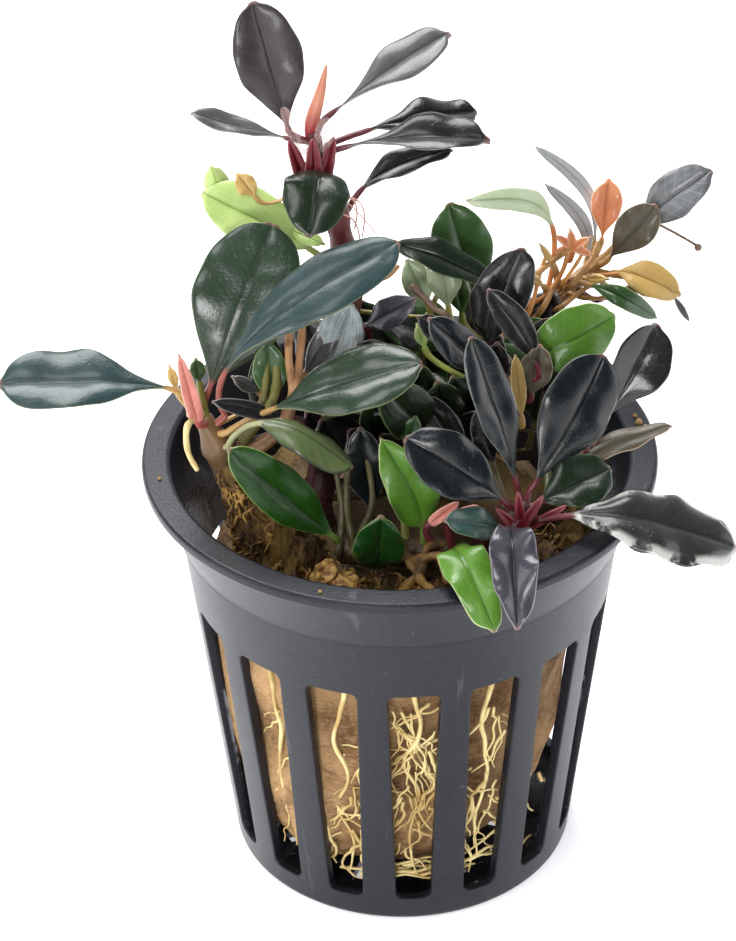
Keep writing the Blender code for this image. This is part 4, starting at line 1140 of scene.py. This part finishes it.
add_stalks("stalks_tan", tan_stalk, "rhizome",
           (0.5, (-16.4, -6.4, 55), (-13, -7.4, 58.6), (-11.4, -6, 62), (-11.6, -4, 64.7),
            (-11.4, -1, 67.6)),
           (0.5, (-16.2, -6.8, 54.6), (-12.6, -7.6, 58.4), (-11, -6, 62.5), (-10.5, -3.5, 64.3),
            (-10, -1, 67)),
           (0.3, (-4.4, 6.6, 66), (-3, 3.6, 68.2), (-1.9, 3, 69.6), (-0.8, 3.5, 69.7), (0.3, 4, 70.6)))
add_stalks("stalks_olive", olive_stalk, "rhizome",
           (0.42, (-16.6, -6.2, 57), (-14.5, -6, 60.9), (-14, -4, 62.9), (-13.9, -2.4, 66)),
           (0.55, (-16.8, -6.4, 56.4), (-14, -7, 60.6), (-13, -5, 62.3), (-12.9, -2.4, 64.8)),
           (0.42, (-5.4, -13, 45.3), (-5.9, -12, 48.5), (-6.2, -10.5, 51.3), (-5.7, -8, 56)),
           (0.38, (-6, -13, 45.9), (-4.7, -12, 48.4), (-3.5, -10.5, 51.1), (-4, -7.6, 56.4)),
           (0.36, (-7.3, -13, 46), (-6.7, -11, 50.4), (-7.4, -8, 55.4)),
           (0.4, (5.4, 3, 47), (3, 5, 54), (3, 6.4, 60), (4.4, 6.6, 65)))
add_stalks("stalks_brown", dull_bark, "rhizome",
           (0.36, (1.6, 3, 68.7), (2.8, 2, 67.8), (4, 1, 66.9), (5.6, 0, 65.9), (8, -1, 60)),
           (0.4, (8.4, -9.4, 47), (5.4, -9, 51), (3.2, -7, 55), (2.4, -5, 59)))
add_stalks("hair_roots", sheath_pink, "root",
           (0.11, (-6.4, 9.6, 76.4), (-4.3, 8, 76.6), (-3.8, 7.5, 75.2), (-4.1, 7, 73.4)),
           (0.09, (-6.2, 9.6, 76), (-3.8, 8.5, 76.1), (-3, 8, 74.6), (-3.3, 7, 72.4)),
           (0.08, (-6.2, 9.6, 75.6), (-4.5, 8, 75.8), (-2.9, 7, 74.3), (-1.9, 6, 73.4)),
           (0.10, (-5.8, 9, 74.4), (-4.2, 7.6, 74.2), (-3.6, 6.8, 72.6), (-3.8, 6.4, 71)), sides=6)
add_stalks("hanging_root", cream, "root",
           (0.34, (-20.8, -5.8, 59.6), (-22.3, -8.4, 60), (-22.4, -10, 58), (-21.5, -11, 56.2)))

# The back shoot: small silver-grey, olive and ochre leaves and a young orange one, at the end of an
# ochre stem that leans out over the pot's back right side.
make_leaf("leaf_back_silver", silver_leaf, (24.2, 18.4, 62.4), (34.5, 17, 72.7), 5.4, 1, roll=-20,
          stalk=0.25, widest=0.62, petiole=OCHRE)
make_leaf("leaf_back_olive", taupe_leaf, (23.6, 16.4, 62.4), (28.6, 16, 69.2), 4.6, 0.6, stalk=0.05,
          widest=0.64, petiole=OCHRE)
make_leaf("leaf_back_young", young_leaf, (23.4, 19.7, 62.8), (24.1, 20.6, 69.9), 3.7, 0.6, fold=20,
          stalk=0.02, widest=0.68, petiole=OCHRE)
make_leaf("leaf_back_narrow", narrow_leaf, (22.4, 19.9, 62.3), (16.6, 23, 73), 1.6, 0.4, swept=2.3, stalk=0,
          widest=0.6, taper=0.7, petiole=OCHRE)
make_leaf("leaf_back_grey", narrow_leaf, (21.6, 18.4, 61.4), (17.4, 20, 70), 1.7, 0.4, swept=1.5, stalk=0,
          widest=0.5, taper=0.7, petiole=OCHRE)
make_leaf("leaf_back_ochre", ochre_leaf, (24, 16.2, 60.8), (31, 12.4, 60.4), 4.2, 2.4, roll=-10, stalk=0.1,
          widest=0.6, petiole=OCHRE)
make_leaf("leaf_back_low", mid_leaf, (20.4, 14.6, 61), (28.4, 11, 58.4), 2.4, 4, peak=0.5, stalk=0.15,
          petiole=OCHRE)
make_leaf("leaf_back_arched", pale_leaf, (16.4, 13.2, 59.4), (8, 8, 75.8), 3.2, 0.6, swept=6.4, roll=20,
          stalk=0.3, petiole=(208, 130, 70))

# Its stalks: ochre and orange ones, thin as wire, with a star of young leaves, some dry husks, and
# one brown thread with a bead of resin at its end.
add_stalks("stalks_back_ochre", ochre_bark, "rhizome",
           (0.36, (12, 12.4, 54), (13.2, 10, 61.2), (14.9, 12, 63.1), (17.4, 14, 64.1), (19.7, 15, 65.2)),
           (0.32, (14, 13.6, 55.4), (15.8, 10, 60.3), (17.8, 13, 61.4), (20.6, 15, 61.5),
            (23.2, 17.4, 61.9)),
           (0.3, (15, 14.2, 56.2), (18, 10.4, 60.5), (20.4, 13, 60.7), (22.8, 15, 60.9)),
           (0.26, (19, 16, 59), (21, 12.4, 60.3), (24.9, 14, 59.3), (26.2, 14, 60.6)),
           (0.3, (17, 15.2, 57.6), (19.3, 13, 61.5), (21.6, 15, 63.2), (22.7, 17, 64.5)))
add_stalks("stalks_back_orange", orange_stalk, "rhizome",
           (0.3, (11.4, 12.2, 53.4), (13.6, 10, 60.4), (16.5, 12, 61), (18.5, 14, 62.7), (19.4, 15, 65.2)),
           (0.26, (11, 12, 53), (14.4, 9.6, 60.2), (16, 13, 63.2), (16.8, 14, 65)),
           (0.22, (18, 15.6, 58.4), (18.6, 13, 62), (20.4, 14.4, 64), (21.4, 15.4, 65.8)),
           (0.24, (20.4, 17, 60.2), (24, 14.6, 61.8), (27, 14, 62.6)))
make_leaves("orange_star", young_leaf, "young_leaf",
            *[((19.7, 15, 65.2), tip, 1.1) for tip in (
                (18, 14.6, 66.9), (19.4, 14.4, 67.6), (21.4, 14.8, 66.4), (21.6, 14.8, 64.3),
                (17.8, 14.8, 64.7))], petiole=(200, 120, 60), fold=30, stalk=0, widest=0.4, taper=0.5,
            stem=(19.4, 15.2, 63.6))
make_leaves("dry_bits", ochre_leaf, "ochre_leaf",
            ((16.4, 12.4, 62), (14.6, 11.4, 64.2), 1.3), ((21, 14.6, 61.4), (23.2, 12.4, 62.6), 1.4),
            ((24.6, 14.4, 59.8), (28, 13, 61), 1.5), ((17.6, 14, 63.6), (16.2, 13.6, 66.4), 1),
            petiole=OCHRE, fold=40, stalk=0, curl=0.4)
bm = bmesh.new()
draw_out(bm, smooth_line([(26.6, 16.2, 67.9), (28.1, 16.0, 67.6), (30.1, 15.8, 66.5), (31.9, 15.6, 65.4),
                          (33.3, 15.4, 64.5)], 6), lambda t: 0.15, 6)
made = bmesh.ops.create_uvsphere(bm, u_segments=12, v_segments=8, radius=0.42 * MM)["verts"]
bmesh.ops.translate(bm, verts=made, vec=Vector((33.4, 15.4, 64.3)) * MM)
add_piece("beaded_thread", bm, dull_bark, "taupe_leaf")
